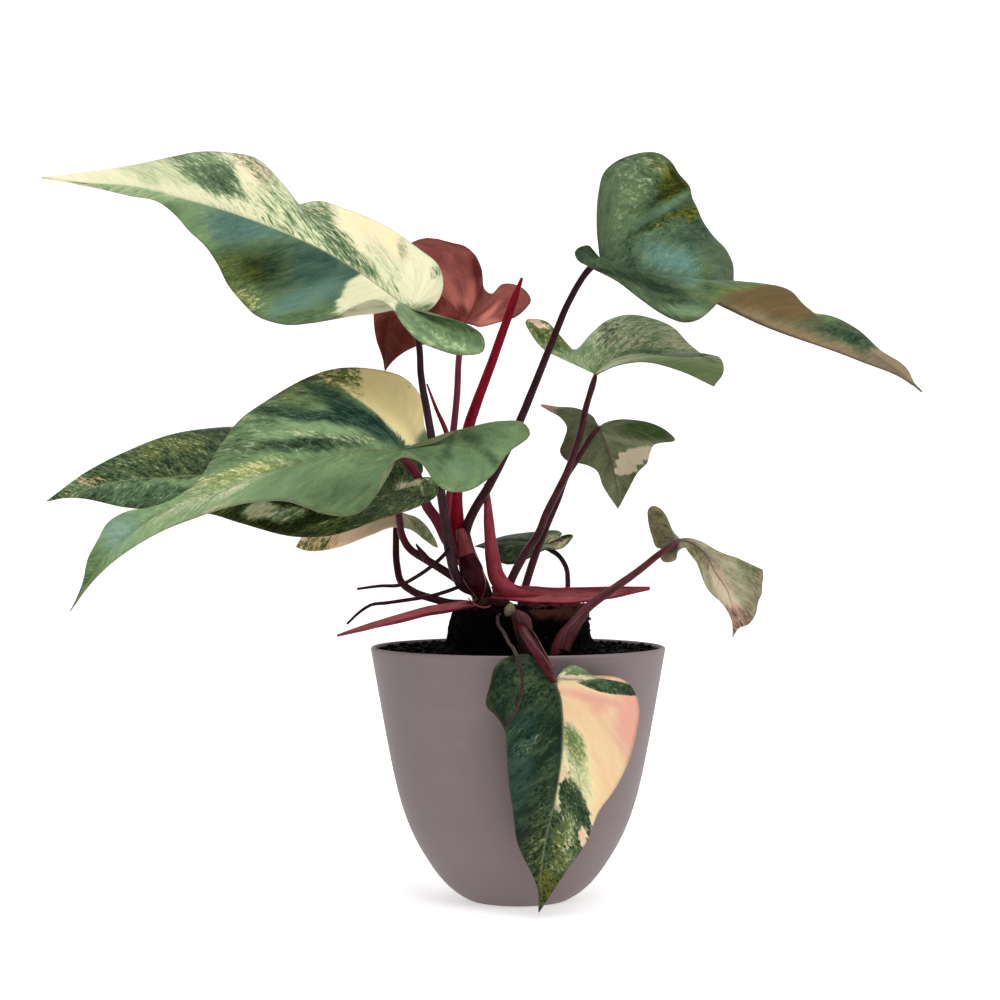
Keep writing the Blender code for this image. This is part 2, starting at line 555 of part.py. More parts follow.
def cut(name, cutters):
    """Takes each cutter out of the named object and keeps the cutters out of the model."""
    obj = bpy.data.objects[name]
    for cutter in cutters:
        modifier = obj.modifiers.new("Clear of " + cutter, "BOOLEAN")
        modifier.operation = "DIFFERENCE"
        modifier.object = bpy.data.objects[cutter + "_sleeve"]


def turned(name, profile, sides):
    """A solid of revolution from a profile of (radius, height) that ends on the axis."""
    mesh = bpy.data.meshes.new(name)
    places = [(radius, 0, height) for radius, height in profile]
    mesh.from_pydata(places, [(i, i + 1) for i in range(len(places) - 1)], [])
    obj = add_object(name, mesh)
    spin = obj.modifiers.new("Turn", "SCREW")
    spin.angle = 2 * np.pi
    spin.steps = sides
    spin.render_steps = sides
    spin.use_merge_vertices = True
    spin.merge_threshold = 1e-5
    return obj


def pot_side(inset, lowest):
    """Points up the pot's side, moved in by the inset, from the lowest height."""
    sides = zip(POT_SIDE_RADII, POT_SIDE_HEIGHTS)
    points = [(radius * POT_RIM_RADIUS - inset, share * POT_HEIGHT) for radius, share in sides]
    return [point for point in points if point[1] > lowest]


def make_pot():
    """A turned cup with a rounded foot, an even wall and a softened lip."""
    outer = pot_side(0, POT_BASE_BEVEL)
    inner = pot_side(POT_WALL, POT_WALL)
    lip = [
        (POT_RIM_RADIUS - POT_WALL, POT_HEIGHT - POT_WALL / 2),
        (POT_RIM_RADIUS - POT_WALL * 0.75, POT_HEIGHT),
        (POT_RIM_RADIUS - POT_WALL * 0.25, POT_HEIGHT),
        (POT_RIM_RADIUS, POT_HEIGHT - POT_WALL / 2),
    ]
    foot = [
        (POT_BASE_RADIUS + POT_BASE_BEVEL * 2, POT_BASE_BEVEL),
        (POT_BASE_RADIUS + POT_BASE_BEVEL * 0.8, POT_BASE_BEVEL * 0.3),
        (POT_BASE_RADIUS, 0),
        (0, 0),
    ]
    profile = [(0, POT_WALL), (POT_BASE_RADIUS - POT_WALL, POT_WALL)] + inner + lip + outer[::-1] + foot
    coat(turned("pot", profile, POT_SIDES), (122, 108, 107), POT_ROUGHNESS)


def soil_height(right, back):
    """Height of the soil's top: a level bed, the root ball standing out of it, and a little relief."""
    level = POT_HEIGHT - SOIL_BELOW_RIM
    turn = np.arctan2(back, right)
    edge = MOUND_RADIUS * (1 + MOUND_LOBES[0] * np.sin(3 * turn + 0.6) + MOUND_LOBES[1] * np.sin(7 * turn))
    inside = np.clip((edge * (1 + MOUND_SLOPE / 2) - np.hypot(right, back)) / (edge * MOUND_SLOPE), 0, 1)
    steps = inside * inside * (3 - 2 * inside)
    lean = MOUND_LEAN * np.clip((right + back * 0.5) / MOUND_RADIUS, -1, 1)
    relief = SOIL_RELIEF * np.sin(right * SOIL_RIPPLES[0] + 1.3) * np.sin(back * SOIL_RIPPLES[1] + 0.4)
    return level + steps * (MOUND_RISE + lean) + relief * (0.4 + 0.6 * steps)


def make_soil():
    """The potting mix: a turned body a hair inside the pot's wall, its top raised by a formula."""
    top = POT_HEIGHT - SOIL_BELOW_RIM
    side_at_top = np.interp(top / POT_HEIGHT, (POT_SIDE_HEIGHTS[-1], 1), (POT_SIDE_RADII[-1], 1))
    wall_top = side_at_top * POT_RIM_RADIUS - POT_WALL - 2 * SOIL_GAP
    rings = [*SOIL_RINGS, wall_top]
    floor = POT_WALL + SOIL_GAP
    wall = pot_side(POT_WALL + 2 * SOIL_GAP, floor)[::-1]
    bottom = [(POT_BASE_RADIUS - 1.5 * POT_WALL, floor), (0, floor)]
    profile = [(radius, top) for radius in rings] + wall + bottom
    form = bmesh.new()
    verts = [form.verts.new((radius, 0, height)) for radius, height in profile]
    edges = [form.edges.new(pair) for pair in zip(verts, verts[1:])]
    bmesh.ops.spin(form, geom=verts + edges, cent=(0, 0, 0), axis=(0, 0, 1), angle=2 * np.pi,
                   steps=SOIL_SIDES, use_merge=True)
    bmesh.ops.remove_doubles(form, verts=form.verts, dist=1e-5)
    for vert in form.verts:
        if vert.co.z > top - 1e-6 and np.hypot(vert.co.x, vert.co.y) < wall_top - 1e-5:
            vert.co.z = soil_height(vert.co.x, vert.co.y)
    bmesh.ops.triangulate(form, faces=form.faces)
    bmesh.ops.recalc_face_normals(form, faces=form.faces)
    coat(add_object("soil", mesh_of("soil", form)), (30, 20, 17), SOIL_ROUGHNESS)


# Stalks that stand in holes in the soil
PLANTED = ("main_stem", "side_shoot", "petiole_right", "petiole_right_hanging", "petiole_low_right",
           "petiole_small_back", "petiole_small_left", "petiole_front", "root_hanging")


def main():
    for obj in list(bpy.data.objects):
        bpy.data.objects.remove(obj)
    make_pot()
    make_soil()
    blades = {name: make_leaf("leaf_" + name, leaf) for name, leaf in LEAVES.items()}
    for name, stalk in STALKS.items():
        make_stalk(name, stalk, blades)
    for name, sheath in SHEATHS.items():
        make_sheath(name, sheath)
    for name, piece in (STALKS | SHEATHS).items():
        cut(name, piece["cut_by"])
    cut("soil", PLANTED)


main()
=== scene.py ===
"""Looks of the potted pink princess philodendron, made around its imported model.

Each blade, stalk, bract and root, the main stem, the pot and the soil replace their plain solids with finer pieces
in the same places. Metres, +Z up, origin at the centre of the pot's base, front towards -Y.
"""

import math

import bmesh
import bpy
import numpy as np
from bpy.props import FloatProperty, FloatVectorProperty, IntProperty, PointerProperty
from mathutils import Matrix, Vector


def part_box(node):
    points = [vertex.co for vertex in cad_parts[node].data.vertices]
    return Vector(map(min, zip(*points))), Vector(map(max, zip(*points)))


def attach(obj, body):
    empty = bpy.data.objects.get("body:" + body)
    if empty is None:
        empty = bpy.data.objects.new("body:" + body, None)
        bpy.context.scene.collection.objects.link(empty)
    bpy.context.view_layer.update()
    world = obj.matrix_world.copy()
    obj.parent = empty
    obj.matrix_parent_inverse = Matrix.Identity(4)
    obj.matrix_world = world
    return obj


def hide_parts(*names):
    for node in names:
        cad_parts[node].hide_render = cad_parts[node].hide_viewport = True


bl_info = {
    "name": "Potted philodendron looks",
    "version": (1, 0, 0),
    "blender": (4, 5, 0),
    "location": "3D View > Sidebar > Philodendron",
    "description": "Detailed blades, stalks, stem, soil, pot and stage for the potted philodendron",
    "category": "Object",
}

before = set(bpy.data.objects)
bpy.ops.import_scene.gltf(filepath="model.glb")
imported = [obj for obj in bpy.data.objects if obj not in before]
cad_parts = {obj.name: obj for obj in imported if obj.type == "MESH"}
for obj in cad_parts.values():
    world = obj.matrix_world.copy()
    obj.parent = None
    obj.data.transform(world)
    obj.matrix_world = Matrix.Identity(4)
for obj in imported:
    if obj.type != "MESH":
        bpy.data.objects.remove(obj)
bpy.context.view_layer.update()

MM = 0.001
MERGE_DISTANCE = 1e-6

# Pot and soil, in metres, as on the solids
POT_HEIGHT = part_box("pot")[1][2]
POT_RIM_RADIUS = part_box("pot")[1][0]
POT_WALL = 0.0022
POT_BASE_RADIUS = 0.0245
POT_BASE_BEVEL = 0.003
POT_SIDE_HEIGHTS = (0.054, 0.101, 0.156, 0.226, 0.304, 0.389, 0.49, 0.623, 0.817)
POT_SIDE_RADII = (0.473, 0.547, 0.613, 0.685, 0.747, 0.797, 0.841, 0.887, 0.947)
SOIL_BELOW_RIM = 0.0015
MOUND_RADIUS = 0.0355
MOUND_RISE = 0.0205
MOUND_LEAN = 0.0022
SOIL_RELIEF = 0.0008
SOIL_RELIEF_PITCH = (410, 370)
SOIL_RELIEF_WAVES = 9
COARSE_PITCH, COARSE_SEED, COARSE_SHARE = 160, 3, 0.5
FINE_PITCH, FINE_SEED, FINE_SHARE = 420, 4, 0.35

# The pot's foot from its wall to its base, in bevels out and up, and the fineness of its parts
FOOT_ROLL = ((2, 1), (0.8, 0.3), (0.35, 0.06), (0, 0))
LIP_STEPS = 10
OUTER_STEPS = 90
INNER_STEPS = 60
SHARP_ANGLE = 40

# The soil inside the pot: gaps at the wall and the floor, and rings (from, to, count) of the root ball
SOIL_WALL_GAP = 0.0008
SOIL_FLOOR_GAP = 0.0004
MOUND_RINGS = ((0, 0.0325, 34), (0.0328, 0.0385, 26))
BED_RINGS_FROM = 0.0392
BED_RINGS = 34
MOUND_SIDE_ABOVE = 0.002
ROOT_BALL_SHAKE_PITCH = (300, 200)
ROOT_BALL_SHAKE_SEED = 8
ROOT_BALL_SHAKE_WAVES = 7

# Where in the view the soil is dry and brown
DRY_ACROSS = (518, 540)
DRY_DOWN = (606, 632)
DRY_AMOUNT = 0.75

# Loose crumbs: how far out they lie, their sizes, and the shares of a size that they are long, wide and high
CRUMB_REACH = 0.97
CRUMB_SIZES = (0.0006, 0.0019)
CRUMB_LENGTHS = (0.7, 1.8)
CRUMB_WIDTHS = (0.6, 1.1)
CRUMB_HEIGHTS = (0.4, 0.8)
CRUMB_UNEVENNESS = (0.8, 1.15)
CRUMB_LIFT = 0.3

# Blades: their arch, the slant and the pitch of their side veins, and their fine forms
BLADE_ARCH = 0.08
VEIN_SWEEP = 0.75
VEIN_PITCH = 820.0
FINE_VEIN_PITCH = 3900.0
COLUMN_CROWDING = 1.25
FULL_LENGTH = 0.15
GROOVE_WIDTH = 0.0011
WAVE_PITCH = (22, 30)
FEATHER_PITCH = (210, 14)
FEATHER_SIGHTS = 3.5
SLOW_FEATHER_SIGHTS = 4
SLOW_SIGHTS = 45
FEATHER_SEEDS_FROM = 40
FEATHER_WAVES = 7
RIB_PAINT_WIDTH = 0.0010
RIB_PAINT = 0.42
MARGIN_FROM = (0.975, 0.995)
MARGIN_PAINT = 0.3
PATTERN_SHIFT = 0.37
# Of the painted masks, shade is painted shade: it darkens a blade where it lies in shade, and in places gives it its
# own darker colour
PAINTED = ("light", "blush", "warm", "tone", "shade", "mottle", "streak", "spots")
MASKS = PAINTED + ("midrib", "margin")
YOUNG_LEAF = "young_red"

# The ridge under a midrib: how far it runs, its radii in millimetres on a long blade, and its sinking in
RIB_RUN = 0.97
RIB_POINTS = 60
RIB_STATIONS = (0, 0.05, 0.4, 1)
RIB_RADII = (1.0, 0.9, 0.6, 0.2)
RIB_SINK = 0.92
HALF_BLADE = 0.00022
RIB_SIDES = 12

# Stalks: the knee under the blade, and points for each ring of the solid
BELOW_BLADE = 0.0009
KNEE_DISTANCES = (0, 0.002, 0.007, 0.012)
KNEE_SWELLING = (0.72, 0.96, 1.12, 1.0)
STALK_FINENESS = 5
BRACT_FINENESS = 6
BUD_FINENESS = 4
BRACT_COLUMNS = 24
BRACT_MAP_WIDTH = 0.006
BRACT_WAVE, BRACT_WAVE_PITCH = 0.03, 0.23
BRACT_CURL = 0.10
BRACT_CURL_FROM = (0.8, 1.0)
RIM_INSET = 0.94
RIM_SIDES = 10
BUD_SIDES = 20

# The eye that the sights below are taken from, which is also the camera's place
EYE_RIGHT = -0.0092
EYE_HEIGHT = 0.203
EYE_DISTANCE = 1.146
VIEW_FOCAL = 2246
VIEW_CENTRE = 500
VIEW_SIZE = 1000
SENSOR_WIDTH = 36

# The backdrop's line from front to back and up, and the lamps
BACKDROP_LINE = ((-3.0, 0), (-1.5, 0), (-0.6, 0), (0.3, 0), (0.9, 0), (1.4, 0), (1.9, 0.04), (2.3, 0.3), (2.5, 0.9),
    (2.6, 2.0), (2.6, 3.0))
LAMPS = (("key", (0.25, -1.2, 1.7), 1.2), ("fill", (1.5, -0.5, 0.7), 1.2), ("top", (-0.45, 0.0, 1.9), 1.4))
LAMPS_AIM = (0, 0, 0.2)
SURROUND_COLOUR = (0.98, 0.99, 1, 1)
BACKDROP_MOTTLE = 0.985


def dab(across, down, half_width, half_height, turn=0, side=0, edge=0.5, **amounts):
    """A soft oval of paint: its place and half sizes in sights, its turn in degrees, the side of the midrib that
    it keeps to, -1 for left and 1 for right, the softness of its edge, and the amounts that it paints."""
    return across, down, half_width, half_height, math.radians(turn), side, edge, amounts


# Leaf blades in sights: across, down and depth in millimetres. Each edge runs from the notch at the stalk, round
# the lobe, to the tip. The grid is a blade's rows and its columns on one side, and the sweep is the slant of its
# pattern on the left and on the right. The base is the paint of the whole blade, and later dabs lie over earlier ones.
# Shade amounts in the bases and dabs are painted shade, partly the blade's own darker colour. Dabs marked below paint
# highlights and sheen
LEAVES = {
    "upper_left": dict(
        grid=(150, 32), sweep=(0.2, 0.6),
        midrib=((410, 309, -18), (340, 259, -14), (247, 218, -8), (168, 195, 0), (137, 187, 3), (89, 183, 8),
            (42, 178, 12)),
        left_edge=((425, 314, -24), (445, 318, -30), (468, 325, -34), (484, 338, -36), (484, 350, -38),
            (462, 355, -43), (440, 350, -50), (418, 340, -55), (402, 323, -56), (390, 306, -57), (377, 300, -56),
            (355, 306, -50), (335, 317, -42), (310, 323, -28), (280, 324, -18), (255, 315, -14), (240, 300, -12),
            (228, 285, -12), (218, 265, -10), (205, 246, -8), (190, 232, -6), (175, 215, -4), (160, 203, -4),
            (130, 196, 2), (90, 187, 8)),
        right_edge=((424, 312, -8), (443, 283, 12), (438, 265, 18), (420, 250, 22), (385, 226, 26), (345, 209, 26),
            (318, 201, 26), (295, 204, 30), (283, 190, 34), (272, 172, 34), (255, 158, 32), (230, 153, 30),
            (200, 152, 28), (172, 157, 24), (140, 164, 20)),
        base=dict(light=0.62, warm=0.25, tone=0.8, mottle=0.42, streak=0.75),
        dabs=(
            dab(85, 180, 50, 18, light=0.95, warm=0.15, mottle=0.1),
            dab(160, 172, 45, 14, 12, 1, light=0.5, tone=0.9, warm=0.3, mottle=0.2),
            dab(155, 190, 70, 7, 12, 1, light=0.7, tone=0.95, warm=0.0, mottle=0.15),
            dab(212, 172, 40, 17, 30, 1, light=0.12, tone=0.3, warm=0.0, mottle=0.6, streak=0.3),
            dab(203, 158, 22, 6, 8, 1, light=0.3, tone=0.75, warm=0.1, mottle=0.6, streak=0.2),
            dab(256, 168, 28, 17, 40, 1, light=0.42, blush=0.5, tone=0.55, warm=0.0, mottle=0.75, streak=0.2),
            dab(252, 186, 24, 8, 52, 1, light=0.9, warm=0.3, blush=0.25, mottle=0.3),
            dab(300, 230, 70, 20, 42, 1, light=0.48, tone=0.8, warm=0.25, mottle=0.5, streak=1.0),
            dab(338, 240, 54, 13, 47, 1, light=0.25, tone=0.42, warm=0.0, mottle=0.6),
            dab(318, 211, 22, 9, 10, 1, light=0.3, blush=0.3, tone=0.5, warm=0.0, mottle=0.7, streak=0.2),
            dab(374, 236, 44, 18, 40, 1, light=1.0, warm=0.55, blush=0.3, mottle=0.08),
            dab(386, 262, 40, 10, 50, 1, light=0.62, tone=0.85, warm=0.1, mottle=0.35),
            dab(403, 254, 5, 16, -15, 1, light=0.5, tone=0.6, blush=0.4, warm=0.0, mottle=0.3),
            dab(424, 282, 18, 30, 0, 1, light=0.92, warm=0.2, mottle=0.2),
            dab(436, 272, 6, 10, 0, 1, light=0.48, tone=0.6, blush=0.3, warm=0.1, mottle=0.5),
            dab(265, 262, 160, 70, 10, -1, light=0.0, warm=-0.4, tone=0.4, mottle=0.12, streak=0.2, edge=0.3),
            dab(132, 191, 60, 9, 10, -1, light=0.35, tone=0.85, warm=0.1, mottle=0.2),
            dab(203, 222, 30, 22, 45, -1, tone=0.72, warm=0.0, light=0.15),
            dab(246, 234, 50, 18, 22, -1, tone=0.5, warm=-0.75, mottle=0.2),
            dab(256, 268, 48, 20, -8, -1, warm=0.7, tone=0.02, light=0.0, mottle=0.15, edge=0.8, shade=0.15),
            dab(225, 278, 24, 24, 30, -1, warm=0.5, tone=0.3, light=0.05, mottle=0.4, edge=0.6),
            dab(247, 302, 22, 13, 20, -1, light=0.3, warm=0.55, tone=0.6, mottle=0.7, edge=0.7),
            dab(320, 268, 44, 24, 10, -1, tone=0.2, warm=-0.7, mottle=0.08, edge=0.7),
            # Painted sheen: a pale grey-teal patch on the lower half where light glances off the blade
            dab(304, 300, 40, 10, -20, -1, tone=0.7, warm=-0.7, mottle=0.12, edge=0.8),
            dab(318, 315, 34, 6, -6, -1, tone=0.4, warm=0.1, mottle=0.4),
            dab(372, 296, 35, 24, -25, -1, light=0.8, tone=0.95, warm=0.0, mottle=0.15, edge=0.1),
            dab(366, 306, 30, 5, -14, -1, light=0.55, tone=0.85, warm=0.0, mottle=0.3),
            dab(452, 333, 52, 26, 15, light=0.05, tone=0.55, warm=-0.1, mottle=0.35, edge=0.3),
            dab(470, 324, 28, 5, 25, tone=0.3, mottle=0.4),
            dab(445, 340, 26, 4, 30, light=0.25, tone=0.8, mottle=0.4),
            dab(455, 347, 32, 5, 12, light=0.3, tone=0.85, mottle=0.4),
        )),
    "middle_left": dict(
        grid=(150, 32), sweep=(0.2, 0.2),
        midrib=((400, 450, -30), (360, 449, -33), (320, 459, -36), (254, 478, -40), (210, 497, -42), (168, 510, -42),
            (136, 530, -40), (105, 556, -37), (86, 585, -35), (70, 611, -34)),
        left_edge=((412, 446, -33), (432, 444, -38), (455, 433, -42), (479, 425, -46), (505, 421, -48),
            (524, 423, -49), (530, 431, -50), (507, 454, -54), (493, 474, -56), (461, 492, -60), (446, 490, -60),
            (434, 481, -58), (425, 466, -55), (414, 459, -52), (403, 457, -52), (393, 462, -56), (382, 474, -62),
            (378, 490, -66), (359, 513, -70), (321, 513, -74), (305, 507, -76), (290, 502, -76), (254, 502, -76),
            (192, 519, -66), (156, 534, -55), (94, 580, -39), (83, 593, -36)),
        right_edge=((418, 445, -22), (428, 443, -14), (424, 425, -8), (419, 394, 0), (407, 380, 3), (371, 369, 4),
            (344, 368, 3), (262, 404, -5), (240, 420, -9), (222, 443, -14), (192, 487, -24), (150, 508, -30),
            (129, 511, -31), (106, 525, -32), (99, 538, -33), (88, 559, -34), (83, 582, -34)),
        base=dict(light=0.06, warm=0.05, tone=0.64, mottle=0.5, streak=0.45),
        dabs=(
            dab(290, 430, 80, 26, -4, 1, tone=0.95, warm=-0.05, mottle=0.5),
            dab(285, 400, 50, 20, -28, 1, tone=0.42, warm=0.2, mottle=0.6),
            dab(316, 384, 40, 10, -18, 1, tone=0.5, warm=0.4, mottle=0.7, light=0.12),
            dab(232, 440, 26, 24, 0, 1, tone=0.5, warm=0.1, mottle=0.6, light=0.14),
            dab(330, 418, 80, 7, 6, 1, tone=0.1, warm=-0.5, mottle=0.5),
            dab(345, 438, 90, 4, 6, 1, light=0.3, tone=0.8, warm=0.2, mottle=0.6),
            dab(300, 445, 60, 8, -4, 1, tone=0.15, warm=-0.2, mottle=0.5),
            dab(358, 416, 66, 9, 34, 1, tone=0.1, warm=-0.6, mottle=0.3, light=0.0),
            dab(372, 396, 62, 12, 35, 1, light=1.0, warm=1.0, mottle=0.15, edge=0.2),
            dab(352, 384, 46, 9, 30, 1, light=0.55, warm=0.7, tone=0.7, mottle=0.5),
            dab(345, 374, 40, 7, 5, 1, light=0.3, warm=0.6, tone=0.5, mottle=0.8),
            dab(400, 402, 56, 24, 52, 1, light=1.1, warm=1.0, mottle=0.06, edge=0.2),
            dab(418, 420, 16, 34, -10, 1, light=1.1, warm=1.0, mottle=0.06, edge=0.3),
            dab(396, 376, 26, 5, 22, 1, light=0.75, warm=0.8, tone=0.6, mottle=0.5),
            dab(228, 478, 66, 9, -17, light=0.36, warm=0.5, tone=0.85, mottle=0.6),
            dab(318, 466, 70, 7, -8, light=0.22, warm=0.4, tone=0.65, mottle=0.5),
            dab(300, 484, 110, 18, -10, -1, light=0.05, tone=0.58, warm=0.0, mottle=0.1, streak=0.15),
            dab(342, 500, 46, 22, 0, -1, tone=0.36, warm=0.2, mottle=0.12),
            dab(385, 470, 14, 26, 10, -1, tone=0.6, warm=-0.3, mottle=0.25),
            dab(480, 452, 66, 42, light=0.0, tone=0.6, warm=0.05, mottle=0.22, streak=0.3, edge=0.15),
            # Painted highlight: a pale bluish patch on the lobe
            dab(458, 468, 20, 14, tone=0.7, warm=-0.3, mottle=0.15, edge=0.7),
            dab(482, 448, 6, 24, -40, tone=0.22),
            dab(448, 450, 5, 22, 20, tone=0.3),
            dab(505, 437, 26, 14, -20, tone=0.55, warm=0.15),
            dab(175, 520, 80, 20, -22, light=0.26, tone=0.85, warm=0.2, mottle=0.25),
            dab(205, 500, 70, 5, -22, light=0.4, tone=0.85, warm=0.2, mottle=0.4),
            # Painted sheen: a pale bluish-teal patch near the tip
            dab(118, 534, 30, 18, -35, light=0.26, tone=1.0, warm=-0.7, mottle=0.12, edge=0.9),
            dab(86, 572, 12, 30, 15, light=0.05, tone=0.5, warm=0.2),
            dab(175, 533, 70, 2.5, -30, light=0.45, blush=0.8, tone=0.6, warm=0.0),
        )),
    "lower_left": dict(
        grid=(140, 26), sweep=(0.3, 0.3),
        midrib=((398, 492, -8), (350, 482, -4), (300, 476, 2), (172, 477, 16), (110, 483, 22), (75, 493, 24),
            (47, 501, 24)),
        left_edge=((405, 486, -16), (420, 478, -26), (433, 479, -33), (438, 488, -36), (436, 496, -38),
            (425, 503, -38), (380, 519, -34), (327, 536, -26), (300, 537, -22), (240, 523, -10), (210, 514, -4),
            (180, 511, 2), (129, 508, 14), (65, 498, 23)),
        right_edge=((412, 484, 2), (423, 470, 10), (415, 455, 18), (385, 445, 26), (330, 435, 32), (215, 428, 38),
            (174, 434, 36), (130, 450, 32), (85, 473, 28)),
        base=dict(light=0.05, warm=0.3, tone=0.16, mottle=0.5, streak=0.15),
        dabs=(
            dab(150, 452, 90, 28, -18, tone=0.2, warm=0.25, mottle=0.6),
            dab(172, 448, 40, 10, -10, warm=0.45, tone=0.3, mottle=0.75),
            dab(90, 481, 20, 5, -10, light=0.4, warm=0.5, blush=0.5, mottle=0.6, shade=0.2),
            dab(75, 492, 14, 5, -30, light=0.2, warm=0.7, tone=0.4, mottle=0.6),
            dab(180, 482, 120, 4, -3, light=0.18, tone=0.75, warm=-0.1, mottle=0.3),
            dab(140, 493, 66, 10, 2, tone=0.36, warm=-0.3, mottle=0.6),
            dab(320, 520, 120, 28, tone=0.04, warm=0.5, mottle=0.5, shade=0.56, light=0.0),
            dab(262, 510, 18, 9, -5, light=0.6, warm=0.2, tone=0.8, mottle=0.3, edge=0.3, shade=0.3),
            dab(285, 514, 22, 7, -10, light=0.35, warm=0.1, tone=0.7, mottle=0.6, edge=0.4, shade=0.3),
            dab(342, 524, 44, 8, -12, tone=0.3, warm=0.4, mottle=0.8, shade=0.25),
            dab(402, 498, 44, 18, -18, light=0.12, tone=0.5, warm=0.25, mottle=0.8, shade=0.0),
            dab(407, 484, 16, 3, -10, light=0.75, blush=0.35, mottle=0.4, shade=0.1),
        )),
    "pink_low_left": dict(
        grid=(70, 16), sweep=(0.2, 0.2),
        midrib=((400, 512, 12), (370, 512, 22), (335, 525, 36), (296, 547, 50)),
        left_edge=((410, 514, 8), (425, 524, 2), (437, 548, -4), (425, 540, -4), (412, 530, -5), (396, 527, -2),
            (371, 535, 8), (336, 548, 24), (303, 550, 44)),
        right_edge=((408, 505, 22), (400, 498, 34), (370, 495, 46), (330, 508, 56), (308, 528, 56)),
        base=dict(light=1.0, blush=0.55, warm=0.35, tone=0.6, mottle=0.15, streak=0.3),
        dabs=(
            dab(316, 543, 26, 9, -8, light=0.35, warm=0.7, tone=0.4, mottle=0.7),
            dab(350, 512, 40, 7, -10, light=0.3, warm=0.5, tone=0.3, mottle=0.8),
            dab(420, 533, 22, 18, 50, light=0.42, blush=0.1, tone=0.95, warm=0.05, mottle=0.3),
            dab(402, 520, 8, 6, light=0.9, blush=0.2, tone=0.95, warm=0.0),
        )),
    "young_red": dict(
        grid=(90, 22), sweep=(0.1, 0.1),
        midrib=((465, 323, 34), (445, 300, 38), (420, 288, 40), (398, 300, 38), (386, 330, 34), (385, 371, 30)),
        left_edge=((455, 335, 26), (440, 342, 20), (417, 346, 18), (391, 363, 26)),
        right_edge=((477, 327, 28), (499, 322, 22), (517, 316, 22), (526, 308, 24), (531, 300, 28), (525, 290, 32),
            (501, 285, 40), (492, 294, 44), (485, 290, 48), (481, 268, 54), (474, 254, 57), (464, 246, 58),
            (452, 243, 59), (427, 238, 59), (395, 255, 55), (380, 280, 48), (377, 341, 35), (382, 356, 32)),
        base=dict(light=0.0, warm=0.0, tone=0.26, mottle=0.12, streak=0.25),
        dabs=(
            dab(440, 262, 26, 24, tone=0.22),
            # Painted light on the folds: the pale streaks are painted highlights and the dark ones painted shade in the
            # creases
            dab(470, 300, 5, 34, 20, tone=0.75, edge=0.8),
            dab(452, 294, 5, 24, -32, tone=0.6, edge=0.8),
            dab(478, 270, 6, 30, -4, tone=0.02),
            dab(458, 316, 12, 10, tone=0.08),
            dab(430, 306, 16, 8, tone=0.04),
            dab(492, 311, 16, 3, -48, tone=1.1, edge=0.8),
            dab(490, 322, 14, 3, -10, tone=0.9, edge=0.8),
            dab(512, 306, 14, 20, tone=0.3),
            dab(392, 340, 18, 26, tone=0.0, warm=0.6),
        )),
    "upper_right": dict(
        grid=(150, 30), sweep=(0.1, 0.1),
        midrib=((600, 258, 6), (623, 268, 2), (674, 288, 2), (698, 293, 8), (722, 304, 16), (757, 321, 26),
            (858, 359, 47), (908, 381, 54), (922, 392, 56)),
        left_edge=((598, 243, 14), (597, 213, 24), (599, 191, 32), (604, 173, 38), (626, 157, 46), (662, 155, 50),
            (672, 163, 50), (678, 173, 50), (690, 188, 52), (692, 198, 52), (697, 208, 52), (702, 220, 52),
            (713, 236, 53), (726, 250, 54), (732, 262, 55), (736, 292, 57), (750, 302, 59), (780, 308, 62),
            (815, 314, 64), (826, 315, 65), (858, 330, 64), (880, 350, 60), (907, 369, 57), (915, 384, 56)),
        right_edge=((595, 252, 0), (590, 246, -6), (575, 253, -18), (578, 260, -22), (588, 266, -26), (620, 283, -36),
            (638, 297, -38), (668, 317, -39), (681, 322, -38), (695, 321, -35), (714, 307, -30), (722, 298, -27),
            (733, 292, -23), (743, 291, -18), (777, 286, 2), (792, 292, 10), (803, 304, 18), (815, 314, 24),
            (832, 336, 36), (843, 341, 41), (865, 347, 46), (885, 361, 50), (905, 376, 53)),
        base=dict(light=0.0, warm=-0.25, tone=0.22, mottle=0.34, streak=0.3, shade=0.42),
        dabs=(
            dab(640, 195, 44, 48, tone=0.24, warm=-0.2, mottle=0.4),
            dab(608, 215, 12, 50, tone=0.34, warm=-0.1, mottle=0.15),
            dab(640, 174, 28, 18, -30, light=0.26, warm=0.2, tone=0.6, mottle=0.6, edge=0.7),
            dab(628, 202, 12, 30, 20, light=0.2, warm=0.2, tone=0.62, mottle=0.5, edge=0.8),
            dab(662, 166, 12, 14, -30, warm=0.45, tone=0.4, mottle=0.5),
            dab(676, 183, 28, 15, -50, warm=0.95, tone=0.0, mottle=0.25, light=0.0, shade=0.1),
            dab(640, 232, 60, 3, -42, tone=0.08, warm=-0.1, mottle=0.2, edge=0.8),
            dab(655, 213, 50, 5, -30, tone=0.5, warm=-0.4, mottle=0.3),
            dab(672, 223, 29, 10, -24, warm=0.95, tone=0.12, mottle=0.55, edge=0.2, light=0.0, shade=0.0),
            dab(640, 244, 36, 10, -24, tone=0.28, warm=-0.3, mottle=0.4),
            dab(690, 242, 30, 12, 40, tone=0.3, warm=-0.4, mottle=0.3),
            # Painted sheen: a pale blue-teal reflection across the middle of the blade
            dab(676, 262, 32, 14, 20, tone=0.78, warm=-0.85, mottle=0.4, edge=0.9, shade=0.1),
            dab(690, 285, 30, 6, -20, tone=0.7, warm=-0.6, mottle=0.3, edge=0.8),
            dab(718, 262, 15, 32, 10, tone=0.34, warm=0.1, mottle=0.25),
            dab(650, 284, 70, 5, 16, tone=0.05, warm=0.1, mottle=0.2),
            dab(650, 298, 50, 6, 22, tone=0.3, warm=0.1, mottle=0.35, light=0.1),
            # Painted highlight: a pale streak along the lower lip
            dab(690, 312, 26, 6, tone=0.9, warm=-0.3, mottle=0.2, light=0.25),
            dab(592, 254, 14, 8, tone=0.25, warm=-0.3, mottle=0.2),
